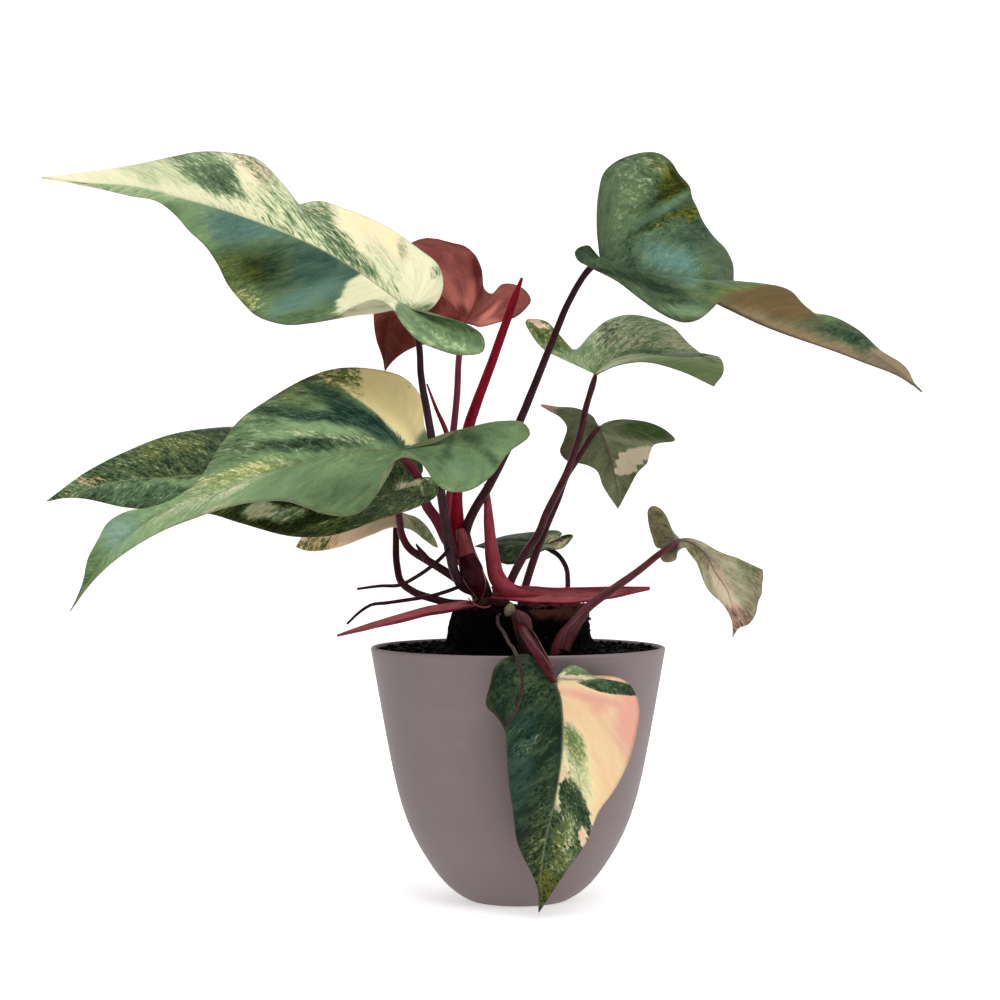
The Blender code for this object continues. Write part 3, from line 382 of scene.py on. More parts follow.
            dab(780, 302, 60, 18, 8, light=0.0, warm=0.85, tone=0.4, mottle=0.1, shade=0.0),
            dab(810, 340, 96, 9, 21, light=0.42, blush=0.4, warm=0.85, tone=0.9, mottle=0.06, edge=0.8),
            dab(894, 368, 30, 12, 42, light=0.8, blush=0.4, warm=0.7, tone=0.3, mottle=0.15, shade=0.8),
            dab(842, 328, 22, 10, 35, 1, light=0.2, blush=0.0, tone=0.35, warm=-0.4, mottle=0.4),
        )),
    "arched_right": dict(
        grid=(100, 22), sweep=(0.2, 0.2),
        midrib=((595, 374, 25), (612, 366, 27), (640, 361, 30), (680, 370, 37), (714, 386, 44)),
        left_edge=((585, 362, 30), (560, 355, 36), (550, 353, 38), (530, 332, 39), (525, 322, 40), (547, 322, 45),
            (560, 338, 47), (574, 350, 48), (590, 335, 50), (605, 322, 53), (627, 315, 56), (650, 318, 58),
            (672, 327, 59), (690, 345, 57), (703, 356, 55), (712, 368, 51)),
        right_edge=((600, 370, 18), (625, 355, 4), (645, 353, 0), (670, 356, 0), (700, 357, 6), (715, 356, 12),
            (723, 374, 32)),
        base=dict(light=0.32, warm=-0.1, tone=1.0, mottle=0.5, streak=0.3),
        dabs=(
            dab(628, 340, 30, 14, 10, light=0.42, warm=0.1, tone=0.9, mottle=0.6, edge=0.7),
            dab(680, 343, 24, 14, 30, light=0.48, tone=1.0, warm=-0.1, mottle=0.4, edge=0.7),
            dab(604, 330, 14, 14, tone=0.35, warm=-0.2, mottle=0.4),
            dab(550, 334, 26, 12, 30, light=0.12, tone=0.4, warm=0.5, mottle=0.7),
            dab(690, 370, 60, 13, 10, tone=0.34, warm=-0.8, mottle=0.2, light=0.0),
            dab(712, 356, 14, 6, 10, tone=0.15, warm=-0.6),
            dab(534, 322, 12, 4, 10, light=0.75, blush=0.7),
        )),
    "hanging_right": dict(
        grid=(90, 20), sweep=(0.2, 0.2),
        midrib=((599, 427, 34), (606, 443, 38), (615, 476, 43), (618, 494, 43), (618, 509, 42)),
        left_edge=((596, 420, 38), (575, 408, 46), (558, 407, 50), (540, 405, 53), (549, 411, 50), (560, 417, 48),
            (567, 427, 47), (564, 440, 46), (560, 452, 46), (566, 460, 46), (578, 463, 46), (589, 466, 45),
            (597, 471, 45), (602, 484, 44)),
        right_edge=((603, 424, 38), (617, 420, 32), (669, 433, 23), (675, 439, 24), (653, 446, 31), (650, 453, 34),
            (647, 463, 36), (639, 471, 38), (628, 490, 41)),
        base=dict(light=0.08, warm=0.1, tone=0.45, mottle=0.3, streak=0.3),
        dabs=(
            dab(650, 430, 28, 9, 6, warm=-0.8, tone=0.0, mottle=0.3),
            dab(640, 443, 40, 3, 10, tone=0.8, warm=0.0, mottle=0.2),
            dab(566, 450, 10, 22, warm=0.4, tone=0.15),
            dab(636, 457, 21, 10, -18, light=1.0, warm=0.5, blush=0.3, mottle=0.05, edge=0.12),
            dab(626, 469, 11, 8, -10, light=1.0, warm=0.5, blush=0.3, mottle=0.05, edge=0.12),
            dab(612, 488, 12, 16, tone=0.55, warm=-0.4, mottle=0.3),
            dab(545, 408, 12, 8, light=0.75, blush=0.9),
        )),
    "low_right": dict(
        grid=(90, 20), sweep=(0.2, 0.2),
        midrib=((678, 541, 6), (689, 543, 8), (706, 556, 12), (712, 568, 14), (728, 594, 18), (732, 610, 19),
            (733, 637, 18)),
        left_edge=((676, 548, 2), (660, 556, -6), (663, 561, -7), (675, 560, -6), (678, 551, -3), (688, 548, 2),
            (695, 552, 2), (698, 559, 1), (702, 568, 1), (703, 578, 2), (712, 594, 7), (722, 603, 11), (733, 625, 16)),
        right_edge=((679, 538, 12), (674, 533, 18), (670, 526, 20), (666, 516, 22), (659, 508, 22), (653, 506, 22),
            (648, 510, 20), (648, 518, 18), (652, 536, 14), (658, 548, 8), (668, 547, 6), (677, 540, 6),
            (689, 538, 12), (700, 541, 16), (720, 552, 24), (748, 560, 31), (759, 561, 33), (763, 577, 34),
            (762, 585, 33), (762, 592, 32), (758, 602, 30), (756, 613, 27), (749, 624, 24), (738, 629, 20)),
        base=dict(light=0.42, blush=0.4, warm=0.3, tone=0.8, mottle=0.24, streak=0.5, shade=0.16),
        dabs=(
            dab(660, 532, 20, 32, light=0.5, blush=0.4, warm=0.6, tone=0.6, mottle=0.25, shade=0.8),
            dab(705, 560, 34, 6, 50, light=0.3, tone=0.4, blush=0.5, warm=0.4, mottle=0.3, shade=0.3),
            dab(725, 592, 6, 26, -28, light=0.95, warm=0.5, mottle=0.3, edge=0.8),
            dab(752, 560, 10, 14, light=0.1, tone=0.5, warm=0.2, mottle=0.5),
            dab(756, 590, 8, 30, 10, light=0.4, blush=0.6, warm=0.4, mottle=0.4, shade=0.3),
            dab(737, 622, 16, 14, light=0.5, blush=1.2, tone=0.3, warm=0.5, mottle=0.5),
        )),
    "small_back": dict(
        grid=(60, 14), sweep=(0.2, 0.2),
        midrib=((544, 545, 52), (520, 541, 50), (497, 543, 46), (475, 546, 42)),
        left_edge=((555, 540, 44), (566, 535, 40), (573, 535, 38), (569, 542, 36), (562, 548, 34), (544, 550, 33),
            (533, 556, 32), (506, 564, 31), (498, 561, 33), (490, 551, 37)),
        right_edge=((552, 540, 58), (562, 534, 64), (558, 531, 69), (535, 532, 68), (510, 535, 62)),
        base=dict(light=0.05, warm=0.35, tone=0.1, shade=0.62, mottle=0.5),
        dabs=(
            dab(560, 543, 16, 8, light=0.45, blush=0.4, tone=0.6, shade=0.25),
        )),
    "front": dict(
        grid=(140, 28), sweep=(0.2, 0.2),
        midrib=((555, 681, -87), (561, 699, -91), (563, 725, -93), (555, 800, -89), (548, 829, -84), (542, 863, -75),
            (539, 912, -60)),
        left_edge=((559, 674, -84), (574, 665, -80), (584, 669, -78), (594, 676, -77), (605, 677, -75),
            (619, 678, -70), (630, 685, -67), (639, 708, -64), (637, 729, -64), (612, 793, -72), (600, 809, -74),
            (587, 840, -73), (562, 877, -67)),
        right_edge=((551, 678, -86), (545, 671, -84), (539, 662, -82), (532, 656, -81), (515, 655, -81),
            (496, 666, -82), (490, 685, -84), (487, 707, -86), (496, 716, -87), (505, 731, -88), (507, 751, -88),
            (509, 783, -85), (513, 810, -82), (516, 836, -79), (539, 897, -63)),
        base=dict(light=0.0, warm=-0.2, tone=0.05, mottle=0.12, streak=0.05, shade=0.42, spots=1.0),
        dabs=(
            dab(520, 750, 16, 70, 4, 1, tone=0.14, warm=-0.6, mottle=0.14),
            dab(527, 740, 12, 16, 0, 1, light=0.12, mottle=0.5),
            dab(525, 685, 30, 22, 0, 1, tone=0.12, warm=0.0, mottle=0.36),
            dab(500, 690, 12, 30, 0, 1, tone=0.02, warm=0.1, mottle=0.3),
            dab(545, 800, 10, 70, 0, 1, tone=0.1, warm=-0.1, mottle=0.4),
            dab(538, 855, 12, 44, 0, 1, tone=0.12, warm=0.4, mottle=0.6, light=0.05),
            dab(560, 850, 16, 44, 12, light=0.1, warm=0.5, tone=0.3, mottle=0.6, edge=0.7),
            dab(545, 890, 14, 20, light=0.0, warm=0.7, tone=0.2, mottle=0.5),
            dab(604, 745, 60, 100, 0, -1, light=1.1, blush=0.52, warm=0.8, mottle=0.05, edge=0.1, shade=0.33,
                spots=0.0),
            dab(637, 722, 15, 46, -4, -1, blush=1.25, warm=0.1, edge=0.9),
            dab(598, 708, 8, 5, 20, -1, light=0.85, tone=0.7, blush=0.8, edge=0.9),
            dab(600, 700, 50, 4, 12, -1, blush=0.9, edge=0.9),
            dab(578, 768, 14, 40, -14, -1, light=0.55, warm=0.5, tone=0.95, blush=0.0, mottle=0.3, edge=0.5),
            dab(573, 742, 9, 22, -25, -1, light=0.2, tone=0.55, warm=0.4, mottle=0.4, edge=0.6, shade=0.3),
            dab(568, 778, 8, 22, 0, -1, light=0.62, warm=0.5, mottle=0.5, edge=0.6),
            dab(576, 815, 14, 40, -18, -1, light=0.05, warm=0.2, tone=0.1, blush=0.0, mottle=0.5, edge=0.15, shade=0.2),
            dab(568, 840, 8, 28, 0, -1, light=0.28, warm=0.4, tone=0.5, mottle=0.6, edge=0.7),
            dab(584, 838, 4, 10, 0, -1, light=0.9, blush=0.7, mottle=0.2),
            dab(612, 687, 34, 7, 10, -1, light=0.0, tone=0.1, warm=-0.1, mottle=0.35, edge=0.2, shade=0.1),
            dab(572, 672, 26, 9, 0, -1, light=0.2, warm=0.2, tone=0.7, mottle=0.45, streak=0.8),
            dab(568, 676, 22, 2.5, 5, -1, light=0.8, warm=0.2),
        )),
}

# Stalks, spears and roots, from the root end out, with radii in millimetres, evenly spaced
STALKS = {
    "main_stem": dict(
        rings=12, radii=(5.8, 5.7, 5.7, 5.5, 4.9, 3.8), dark=(16, 4, 7), fresh=(50, 16, 22),
        route=((490, 676, 0), (487, 625, 0), (484, 602, 1), (475, 575, 3), (466, 550, 4), (462, 529, 5))),
    "side_shoot": dict(
        rings=8, radii=(4.4, 4.4, 3.8, 2.0), dark=(36, 16, 18), fresh=(84, 50, 50),
        route=((528, 668, -37), (526, 645, -38), (521, 627, -37), (512, 609, -32))),
    "petiole_upper_left": dict(
        leaf="upper_left", rings=18, radii=(2.4, 2.5, 2.3, 2.0, 1.7, 1.5), dark=(24, 10, 14), fresh=(66, 36, 46),
        route=((474, 592, -4), (462, 586, -7), (455, 573, -11), (450, 554, -13), (446, 527, -14), (441, 493, -16),
            (436, 465, -18), (432, 440, -21), (427, 411, -23), (421, 376, -22), (419, 345, -19))),
    "petiole_middle_left": dict(
        leaf="middle_left", rings=14, radii=(3.0, 2.8, 2.4, 1.9), dark=(56, 10, 26), fresh=(116, 34, 58),
        route=((462, 562, -3), (456, 552, -5), (447, 540, -6), (437, 520, -4), (427, 506, -4), (422, 490, -8),
            (417, 476, -15), (408, 463, -23))),
    "petiole_young_red": dict(
        leaf="young_red", rings=14, radii=(2.0, 1.9, 1.8, 1.6), dark=(72, 12, 32), fresh=(122, 44, 66),
        route=((463, 548, 6), (459, 534, 11.5), (454, 515, 15.5), (450, 490, 18), (450, 460, 19), (453, 433, 22),
            (457, 393, 28), (459, 356, 34))),
    "spear_tall": dict(
        rings=16, radii=(4.2, 4.2, 4.0, 3.8, 3.6, 3.3, 3.0, 2.8, 2.6, 2.5, 2.4, 2.3, 2.1, 0.8), dark=(78, 2, 16),
        fresh=(132, 14, 34),
        route=((464, 552, 4), (458, 530, 5), (456, 510, 6), (458, 470, 8), (468, 430, 9), (493, 360, 11),
            (522, 278, 14))),
    "spear_short": dict(
        rings=10, radii=(1.6, 1.9, 1.4, 0.5), dark=(78, 14, 30), fresh=(140, 40, 58),
        route=((446, 524, -13), (448, 508, -9.5), (450, 488, -5), (450, 465, -1), (447, 434, 4), (436, 408, 3),
            (427, 384, 2))),
    "petiole_upper_right": dict(
        leaf="upper_right", rings=16, radii=(2.6, 2.4, 2.2, 1.9, 1.7), dark=(24, 7, 11), fresh=(58, 24, 32),
        route=((464, 545, 0), (466, 530, 1), (472, 515, 3), (488, 488, 6), (515, 433, 10), (535, 385, 12),
            (553, 340, 12), (570, 300, 10), (588, 271, 8))),
    "petiole_lower_left": dict(
        leaf="lower_left", rings=13, radii=(2.2, 2.1, 1.9, 1.6), dark=(42, 12, 20), fresh=(84, 30, 42),
        route=((472, 588, 3), (458, 580, 2), (443, 570, 1), (425, 559, 0), (411, 550, -2), (402, 535, -8),
            (399, 515, -11))),
    "petiole_small_left": dict(
        leaf="pink_low_left", rings=15, radii=(2.1, 2.0, 1.8, 1.6), dark=(32, 8, 14), fresh=(72, 26, 36),
        route=((480, 606, 4), (466, 604, 1), (450, 603, -4), (434, 599, -8), (414, 592, -10), (402, 583, -6),
            (397, 565, 0), (396, 545, 6), (397, 525, 10))),
    "petiole_right": dict(
        leaf="arched_right", rings=18, radii=(2.5, 2.4, 2.1, 1.9, 1.6), dark=(32, 8, 14), fresh=(78, 38, 44),
        route=((500, 650, 8), (503, 620, 8), (508, 590, 10), (524, 556, 14), (539, 533, 16), (546, 515, 17),
            (558, 491, 19), (566, 475, 20), (575, 451, 21), (581, 432, 21), (586, 408, 22), (592, 388, 23))),
    "petiole_right_hanging": dict(
        leaf="hanging_right", rings=16, radii=(2.3, 2.2, 1.8, 1.4), dark=(32, 8, 14), fresh=(78, 38, 44),
        route=((515, 650, 16), (519, 618, 17), (525, 589, 19), (534, 560, 23), (546, 528, 26), (558, 500, 28),
            (568, 474, 30), (576, 462, 31), (584, 449, 31), (592, 436, 31))),
    "petiole_low_right": dict(
        leaf="low_right", rings=18, radii=(3.4, 3.1, 2.4, 2.0, 1.75, 1.5), dark=(40, 8, 14), fresh=(92, 36, 42),
        route=((556, 690, -46), (556, 665, -46), (557, 650, -46), (562, 638, -44), (571, 627, -41), (590, 606, -34),
            (615, 588, -29), (640, 570, -23), (656, 557, -17), (668, 548, -8))),
    "petiole_small_back": dict(
        leaf="small_back", rings=14, radii=(1.6, 1.5, 1.2), dark=(26, 9, 14), fresh=(62, 30, 36),
        route=((565, 650, 16), (566, 622, 18), (566, 603, 24), (568, 584, 34), (566, 567, 42), (558, 555, 48))),
    "petiole_front": dict(
        leaf="front", rings=13, radii=(2.5, 2.6, 2.1, 1.3), dark=(36, 4, 12), fresh=(92, 18, 32),
        route=((520.5, 625, -37), (522, 629, -46), (526, 637, -62), (533, 648, -79), (541, 660, -90), (548, 671, -92))),
    "root_upper": dict(
        rings=12, radii=(1.0, 1.0, 0.9, 0.6), dark=(18, 5, 9), fresh=(52, 18, 24),
        route=((449, 549, -17), (443, 556, -19), (428, 569, -23), (416, 577, -26), (400, 585, -28), (380, 586, -30),
            (357, 589, -30))),
    "root_lower": dict(
        rings=12, radii=(1.0, 1.0, 0.9, 0.6), dark=(18, 5, 9), fresh=(52, 18, 24),
        route=((461, 586, -10), (448, 591, -17), (435, 595, -21), (407, 600, -26), (386, 603, -30), (371, 605, -33),
            (361, 611, -35), (347, 624, -37))),
    "root_hanging": dict(
        rings=18, radii=(1.0, 0.9, 0.9, 0.6), dark=(26, 14, 14), fresh=(78, 60, 54),
        route=((503, 615, -22), (498, 616, -31), (498, 624, -40), (504, 633, -51), (509, 643, -66), (514, 650, -84),
            (519, 663, -95), (522, 681, -98), (519, 702, -99), (506, 728, -98))),
}

# Long bracts, open on the side given. Their colours are those outside and inside.
SHEATHS = {
    "sheath_left": dict(
        half_turn=1.25, opens=(0.1, -0.35, 1), rings=17, radii=(3.0, 3.6, 4.0, 3.8, 3.2, 2.2, 0.6),
        dark=((96, 18, 32), (132, 50, 58)), fresh=((156, 66, 74), (190, 108, 110)),
        route=((480, 601, -3), (468, 601, -11), (455, 603, -18), (430, 607, -25), (400, 615, -30), (360, 627, -35),
            (337, 635, -37))),
    "sheath_right": dict(
        half_turn=1.25, opens=(0, -0.85, 0.5), rings=19, radii=(4.0, 4.6, 5.0, 4.8, 4.2, 2.8, 0.6),
        dark=((100, 16, 28), (120, 40, 50)), fresh=((150, 40, 52), (172, 92, 94)),
        route=((487, 591, -3), (498, 590.5, -9), (520, 592, -15), (560, 594, -19), (600, 592, -21), (650, 588, -21))),
    "sheath_upright": dict(
        half_turn=1.4, opens=(0, 1, 0), rings=20, radii=(0.8, 3.0, 4.2, 4.4, 3.6, 3.0, 2.4, 1.8, 0.7),
        dark=((100, 18, 32), (108, 40, 48)), fresh=((152, 58, 68), (154, 76, 82)),
        route=((548, 596, -12), (524, 593.5, -9), (507, 589, -6), (497.5, 578, -2), (493, 560, 2), (489.5, 530, 7),
            (487.5, 502, 12), (486, 484, 15))),
}

# Short sheaths on the main stem and the stalks, each on a node of the model, some with a pale rim
WRAPS = {
    "stem_shield": dict(
        node="main_stem", slot="stem", half_turn=1.35, opens=(0, 1, 0), rings=8, rim=0.0005,
        radii=(0.8, 5.0, 6.0, 4.8), dark=(22, 3, 8), fresh=(58, 9, 20), pale=(190, 122, 126),
        route=((479.5, 599, -9), (478, 588, -9), (472.5, 573, -8), (466.5, 556, -7))),
    "stem_patch": dict(
        node="main_stem", slot="stem", half_turn=1.3, opens=(0, 1, 0), rings=6, rim=0, radii=(4.8, 3.8, 2.2),
        dark=(92, 30, 38), fresh=(138, 70, 72), pale=(170, 112, 116),
        route=((468, 560, -6), (464, 544, -5), (460, 530, -3))),
    "front_sheath": dict(
        node="petiole_front", slot="sheath", half_turn=1.4, opens=(0.2, -0.7, 0.7), rings=8, rim=0.0003,
        radii=(1.6, 2.4, 2.0, 1.2, 0.4), dark=(28, 4, 10), fresh=(70, 22, 30), pale=(128, 84, 82),
        route=((528, 628, -48), (533, 637, -64), (540, 648, -80), (548, 660, -91), (553, 669, -93))),
    "torn_tip": dict(
        node="petiole_lower_left", slot="sheath", half_turn=1.3, opens=(0.3, 1, 0), rings=4, rim=0,
        radii=(1.9, 1.2, 0.2), dark=(42, 12, 20), fresh=(84, 30, 42), pale=(150, 104, 100),
        route=((427, 559, -3), (421, 551, -4), (416, 544, -4))),
    "low_right_sheath": dict(
        node="petiole_low_right", slot="sheath", half_turn=1.4, opens=(-0.5, 0.8, 0.1), rings=10, rim=0.00032,
        radii=(0.3, 2.0, 3.0, 2.4), dark=(40, 12, 20), fresh=(84, 40, 46), pale=(140, 98, 98),
        route=((591, 608, -38), (580, 620, -43), (570, 635, -46), (564, 651, -48))),
}

# Buds and scars at the foot of the main stem
BUDS = {
    "stem_knob": dict(
        node="main_stem", slot="stem", rings=6, radii=(0.4, 2.4, 2.9, 2.4, 0.4), dark=(28, 8, 8), fresh=(72, 32, 30),
        route=((473, 601, -5), (482, 603, -7), (491, 602, -6))),
    "stem_foot": dict(
        node="main_stem", slot="stem", rings=6, radii=(0.8, 2.6, 2.6, 0.8), dark=(16, 5, 6), fresh=(48, 20, 20),
        route=((478, 604, -3), (496, 603.5, -9), (512, 604, -14))),
    "stem_rim": dict(
        node="main_stem", slot="stem", rings=6, radii=(0.3, 0.5, 0.5, 0.3), dark=(110, 54, 56), fresh=(166, 104, 100),
        route=((468, 598, -8), (476, 605, -10), (486, 607.5, -10), (495, 603, -9))),
    "pale_bud": dict(
        node="side_shoot", slot="stem", rings=6, radii=(0.6, 2.2, 2.8, 2.2, 0.5), dark=(64, 48, 34),
        fresh=(146, 134, 102),
        route=((506, 616, -34), (509.5, 610, -35), (512, 603, -34))),
    "purple_bud": dict(
        node="side_shoot", slot="stem", rings=6, radii=(1.2, 2.8, 3.5, 2.6, 0.5), dark=(40, 16, 20),
        fresh=(108, 66, 68),
        route=((530, 636, -42), (525, 623, -42), (517, 610, -39))),
}


def seen(sights):
    """Places in metres of a list of sights (across, down, depth in millimetres)."""
    across, down, depth = np.array(sights, float).T
    depth = depth * MM
    scale = (EYE_DISTANCE + depth) / VIEW_FOCAL
    right = EYE_RIGHT + (across - VIEW_CENTRE) * scale
    up = EYE_HEIGHT - (down - VIEW_CENTRE) * scale
    return np.stack([right, depth, up], axis=-1)


def sighted(points):
    """Where points in metres lie in the view, across and down."""
    scale = VIEW_FOCAL / (EYE_DISTANCE + points[:, 1])
    across = VIEW_CENTRE + (points[:, 0] - EYE_RIGHT) * scale
    down = VIEW_CENTRE - (points[:, 2] - EYE_HEIGHT) * scale
    return np.stack([across, down], axis=-1)


def unit(vectors):
    """The vectors, each at a length of one."""
    return vectors / np.maximum(np.linalg.norm(vectors, axis=-1, keepdims=True), 1e-12)


def run_length(points):
    """Distance from the first point to each point along the line."""
    steps = np.linalg.norm(np.diff(points, axis=0), axis=1)
    return np.concatenate([[0], np.cumsum(steps)])


def read_line(stations, known, points):
    """Points of a line at the given stations, between known stations."""
    return np.stack([np.interp(stations, known, points[:, axis]) for axis in range(3)], axis=-1)


def smooth_line(points, count):
    """A smooth line of count points through the given ones, with each tangent set by its neighbours."""
    knots = run_length(points)
    slopes = np.diff(points, axis=0) / np.diff(knots)[:, None]
    before, after = np.diff(knots)[:-1, None], np.diff(knots)[1:, None]
    inner = (slopes[:-1] * after + slopes[1:] * before) / (before + after)
    tangents = np.concatenate([slopes[:1], inner, slopes[-1:]])
    stations = np.linspace(0, knots[-1], count)
    cell = np.clip(np.searchsorted(knots, stations, side="right") - 1, 0, len(points) - 2)
    width = (knots[cell + 1] - knots[cell])[:, None]
    t = (stations - knots[cell])[:, None] / width
    near = (2 * t**3 - 3 * t**2 + 1) * points[cell] + (t**3 - 2 * t**2 + t) * width * tangents[cell]
    far = (3 * t**2 - 2 * t**3) * points[cell + 1] + (t**3 - t**2) * width * tangents[cell + 1]
    return near + far


def radii_along(row, points):
    """A row's radii, which it lists evenly spaced, at each point of its line."""
    share = run_length(points) / run_length(points)[-1]
    return np.interp(share, np.linspace(0, 1, len(row["radii"])), np.array(row["radii"], float) * MM)


def eased(value, low, high):
    """0 below low, 1 above high, and a smooth step between."""
    share = np.clip((value - low) / (high - low), 0, 1)
    return share * share * (3 - 2 * share)


def ripple(a, b, seed, waves=5):
    """A smooth random field of a and b between about -1 and 1."""
    draw = np.random.default_rng(seed)
    total = np.zeros(np.shape(a))
    for _ in range(waves):
        turn, pitch, start = draw.uniform(0, 2 * np.pi), draw.uniform(0.6, 1.7), draw.uniform(0, 2 * np.pi)
        total += np.sin(2 * np.pi * pitch * (a * np.cos(turn) + b * np.sin(turn)) + start)
    return total / waves * 1.6


# Forms and objects

def grid_form(rows, columns):
    """A flat grid, and its corners' places from -1 to 1 along and across."""
    form = bmesh.new()
    bmesh.ops.create_grid(form, x_segments=rows, y_segments=columns, size=1)
    return form, np.array([vert.co[:2] for vert in form.verts])


def move_corners(form, places):
    """Puts each corner of a form in its place."""
    for vert, place in zip(form.verts, places):
        vert.co = place


def map_skin(form, run, beside):
    """Gives the form its UV map: the run along it and the distance beside its middle, then joins its seam."""
    skin = form.loops.layers.uv.new("skin")
    form.verts.index_update()
    for face in form.faces:
        for loop in face.loops:
            loop[skin].uv = (run[loop.vert.index], beside[loop.vert.index])
    bmesh.ops.remove_doubles(form, verts=form.verts, dist=MERGE_DISTANCE)


def paint_layer(form, label, amounts):
    """Gives each corner its amount in a layer that materials read."""
    layer = form.verts.layers.float.new(label)
    for vert, amount in zip(form.verts, amounts):
        vert[layer] = amount


def add_object(name, data, location=(0, 0, 0), rotation=(0, 0, 0)):
    """Links an object to the scene."""
    obj = bpy.data.objects.new(name, data)
    bpy.context.scene.collection.objects.link(obj)
    obj.location = location
    obj.rotation_euler = rotation
    return obj


def smooth_mesh(name, form, materials, sharp_angle=None):
    """A smooth mesh of a finished form, with sharp edges beyond an angle in degrees where one is given."""
    mesh = bpy.data.meshes.new(name)
    form.to_mesh(mesh)
    form.free()
    mesh.shade_smooth()
    if sharp_angle:
        mesh.set_sharp_from_angle(angle=math.radians(sharp_angle))
    for material in materials:
        mesh.materials.append(material)
    return mesh


def add_piece(name, form, materials, node, sharp_angle=None):
    """Links a finished form as a piece that stands for a node of the model."""
    obj = add_object(name, smooth_mesh(name, form, materials, sharp_angle))
    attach(obj, "root")
    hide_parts(node)
    return obj


def thicken(piece, thickness):
    """Gives a sheet its thickness, with its second material on the back."""
    modifier = piece.modifiers.new("Thickness", "SOLIDIFY")
    modifier.thickness = thickness
    modifier.offset = 0
    modifier.material_offset = 1


class Blade:
    """A leaf blade lofted from its midrib to its left and right edges, listed from the notch to the tip."""

    SAMPLES = 1200
    MIDRIB_SAMPLES = 400
    NOTCH_TOLERANCE = 0.0005
    NOTCH_STEP = 5
    NOTCH_LIMIT = 0.8
    TIP_CROWDING = 1.15
    VEIN_DRAW = 0.05
    LOBE_SHARES = (0.25, 0.5)
    TINY = 1e-9

    def __init__(self, leaf):
        midrib, *edges = (seen(leaf[line]) for line in ("midrib", "left_edge", "right_edge"))
        self.midrib = smooth_line(midrib, self.MIDRIB_SAMPLES)
        self.midrib_run = run_length(self.midrib)
        self.length = self.midrib_run[-1]
        self.tangents = unit(np.gradient(self.midrib, axis=0))
        self.edges = [self.rooted_edge(midrib, edge) for edge in edges]
        self.lobe_share = float(np.clip(np.mean([edge[3] for edge in self.edges]), *self.LOBE_SHARES))

    def rooted_edge(self, midrib, edge):
        """The edge's stations and points, where its veins spring from, its lobe's end and its notch's end."""
        line = smooth_line(np.concatenate([midrib[:1], edge, midrib[-1:]]), self.SAMPLES)
        stations = run_length(line) / run_length(line)[-1]
        distances = np.linalg.norm(line[:, None] - self.midrib[None], axis=2)
        beside = self.midrib_run[distances.argmin(axis=1)]
        root = np.clip(beside - VEIN_SWEEP * distances.min(axis=1), 0, None)
        root = np.maximum.accumulate(root)
        root[-1] = self.length
        lobe_end = stations[np.nonzero(root > self.TINY)[0][0]]
        return stations, line, root, lobe_end, min(self.notch_end(stations, line), self.NOTCH_LIMIT * lobe_end)

    def notch_end(self, stations, line):
        """How far the edge runs straight out from the stalk, which the blade's first row then follows."""
        straight = [stations[1]]
        for reach in range(2 * self.NOTCH_STEP, len(line) // 2, self.NOTCH_STEP):
            chord = unit(line[reach] - line[0])
            offsets = line[:reach] - line[0]
            strays = offsets - (offsets @ chord)[:, None] * chord
            if np.linalg.norm(strays, axis=1).max() < self.NOTCH_TOLERANCE:
                straight.append(stations[reach])
        return straight[-1]

    def root_at(self, u):
        """How far along the midrib the side veins at u spring from."""
        beyond_lobes = np.clip((u - self.lobe_share) / (1 - self.lobe_share), 0, 1)
        return self.length * beyond_lobes**self.TIP_CROWDING

    def edge_at(self, side, u):
        """Points of the left (0) or right (1) edge at u."""
        stations, line, root, lobe_end, notch_end = self.edges[side]
        blade_part = stations >= lobe_end
        rising_root = root[blade_part] + np.linspace(0, self.TINY, blade_part.sum())
        in_lobe = notch_end + (lobe_end - notch_end) * u / self.lobe_share
        in_blade = np.interp(self.root_at(u), rising_root, stations[blade_part])
        return read_line(np.where(u <= self.lobe_share, in_lobe, in_blade), stations, line)

    def surface(self, u, v):
        """Points, upward directions and half widths at u, from the lobes to the tip, and v, from left to right."""
        rib = read_line(self.root_at(u), self.midrib_run, self.midrib)
        along = unit(read_line(self.root_at(u), self.midrib_run, self.tangents))
        left, right = self.edge_at(0, u), self.edge_at(1, u)
        upward = unit(np.cross(right - left, along))
        reach = np.where((v < 0)[:, None], left, right) - rib
        width = np.linalg.norm(reach, axis=-1, keepdims=True)
        share = np.abs(v)[:, None]
        rising = np.clip(u / self.lobe_share, 0, 1)[:, None]
        bulge = 4 * share * (1 - share) * width * rising
        points = rib + reach * share + upward * bulge * BLADE_ARCH - along * bulge * self.VEIN_DRAW
        return points, upward, width[:, 0]

    def vein_run(self, u, rows):
        """The distance across the side veins at u, read halfway out on the blade."""
        stations = np.linspace(0, 1, rows + 1)
        halves = [run_length(self.surface(stations, np.full(rows + 1, v))[0]) for v in (-0.5, 0.5)]
        return np.interp(u, stations, sum(halves) / 2)

    def stalk_end(self):
        """Where the line of the blade's stalk ends, just below the blade."""
        beyond = min(self.lobe_share + 0.05, 0.9)
        return self.midrib[0] - self.surface(np.array([beyond]), np.array([0.0]))[1][0] * BELOW_BLADE


# Shader nodes

class Signal:
    """An output of a shader node. Sums, differences and products of signals add nodes to its tree."""

    def __init__(self, socket):
        self.socket = socket

    def __add__(self, other):
        return maths("ADD", self, other)

    def __sub__(self, other):
        return maths("SUBTRACT", self, other)

    def __rsub__(self, other):
        return maths("SUBTRACT", other, self)

    def __mul__(self, other):
        return maths("MULTIPLY", self, other)

    def held(self):
        """The same signal, held between 0 and 1."""
        self.socket.node.use_clamp = True
        return self


def feed(socket, value):
    """Links a signal to a socket, or sets the socket to a plain value."""
    if isinstance(value, Signal):
        socket.id_data.links.new(value.socket, socket)
    else:
        socket.default_value = value


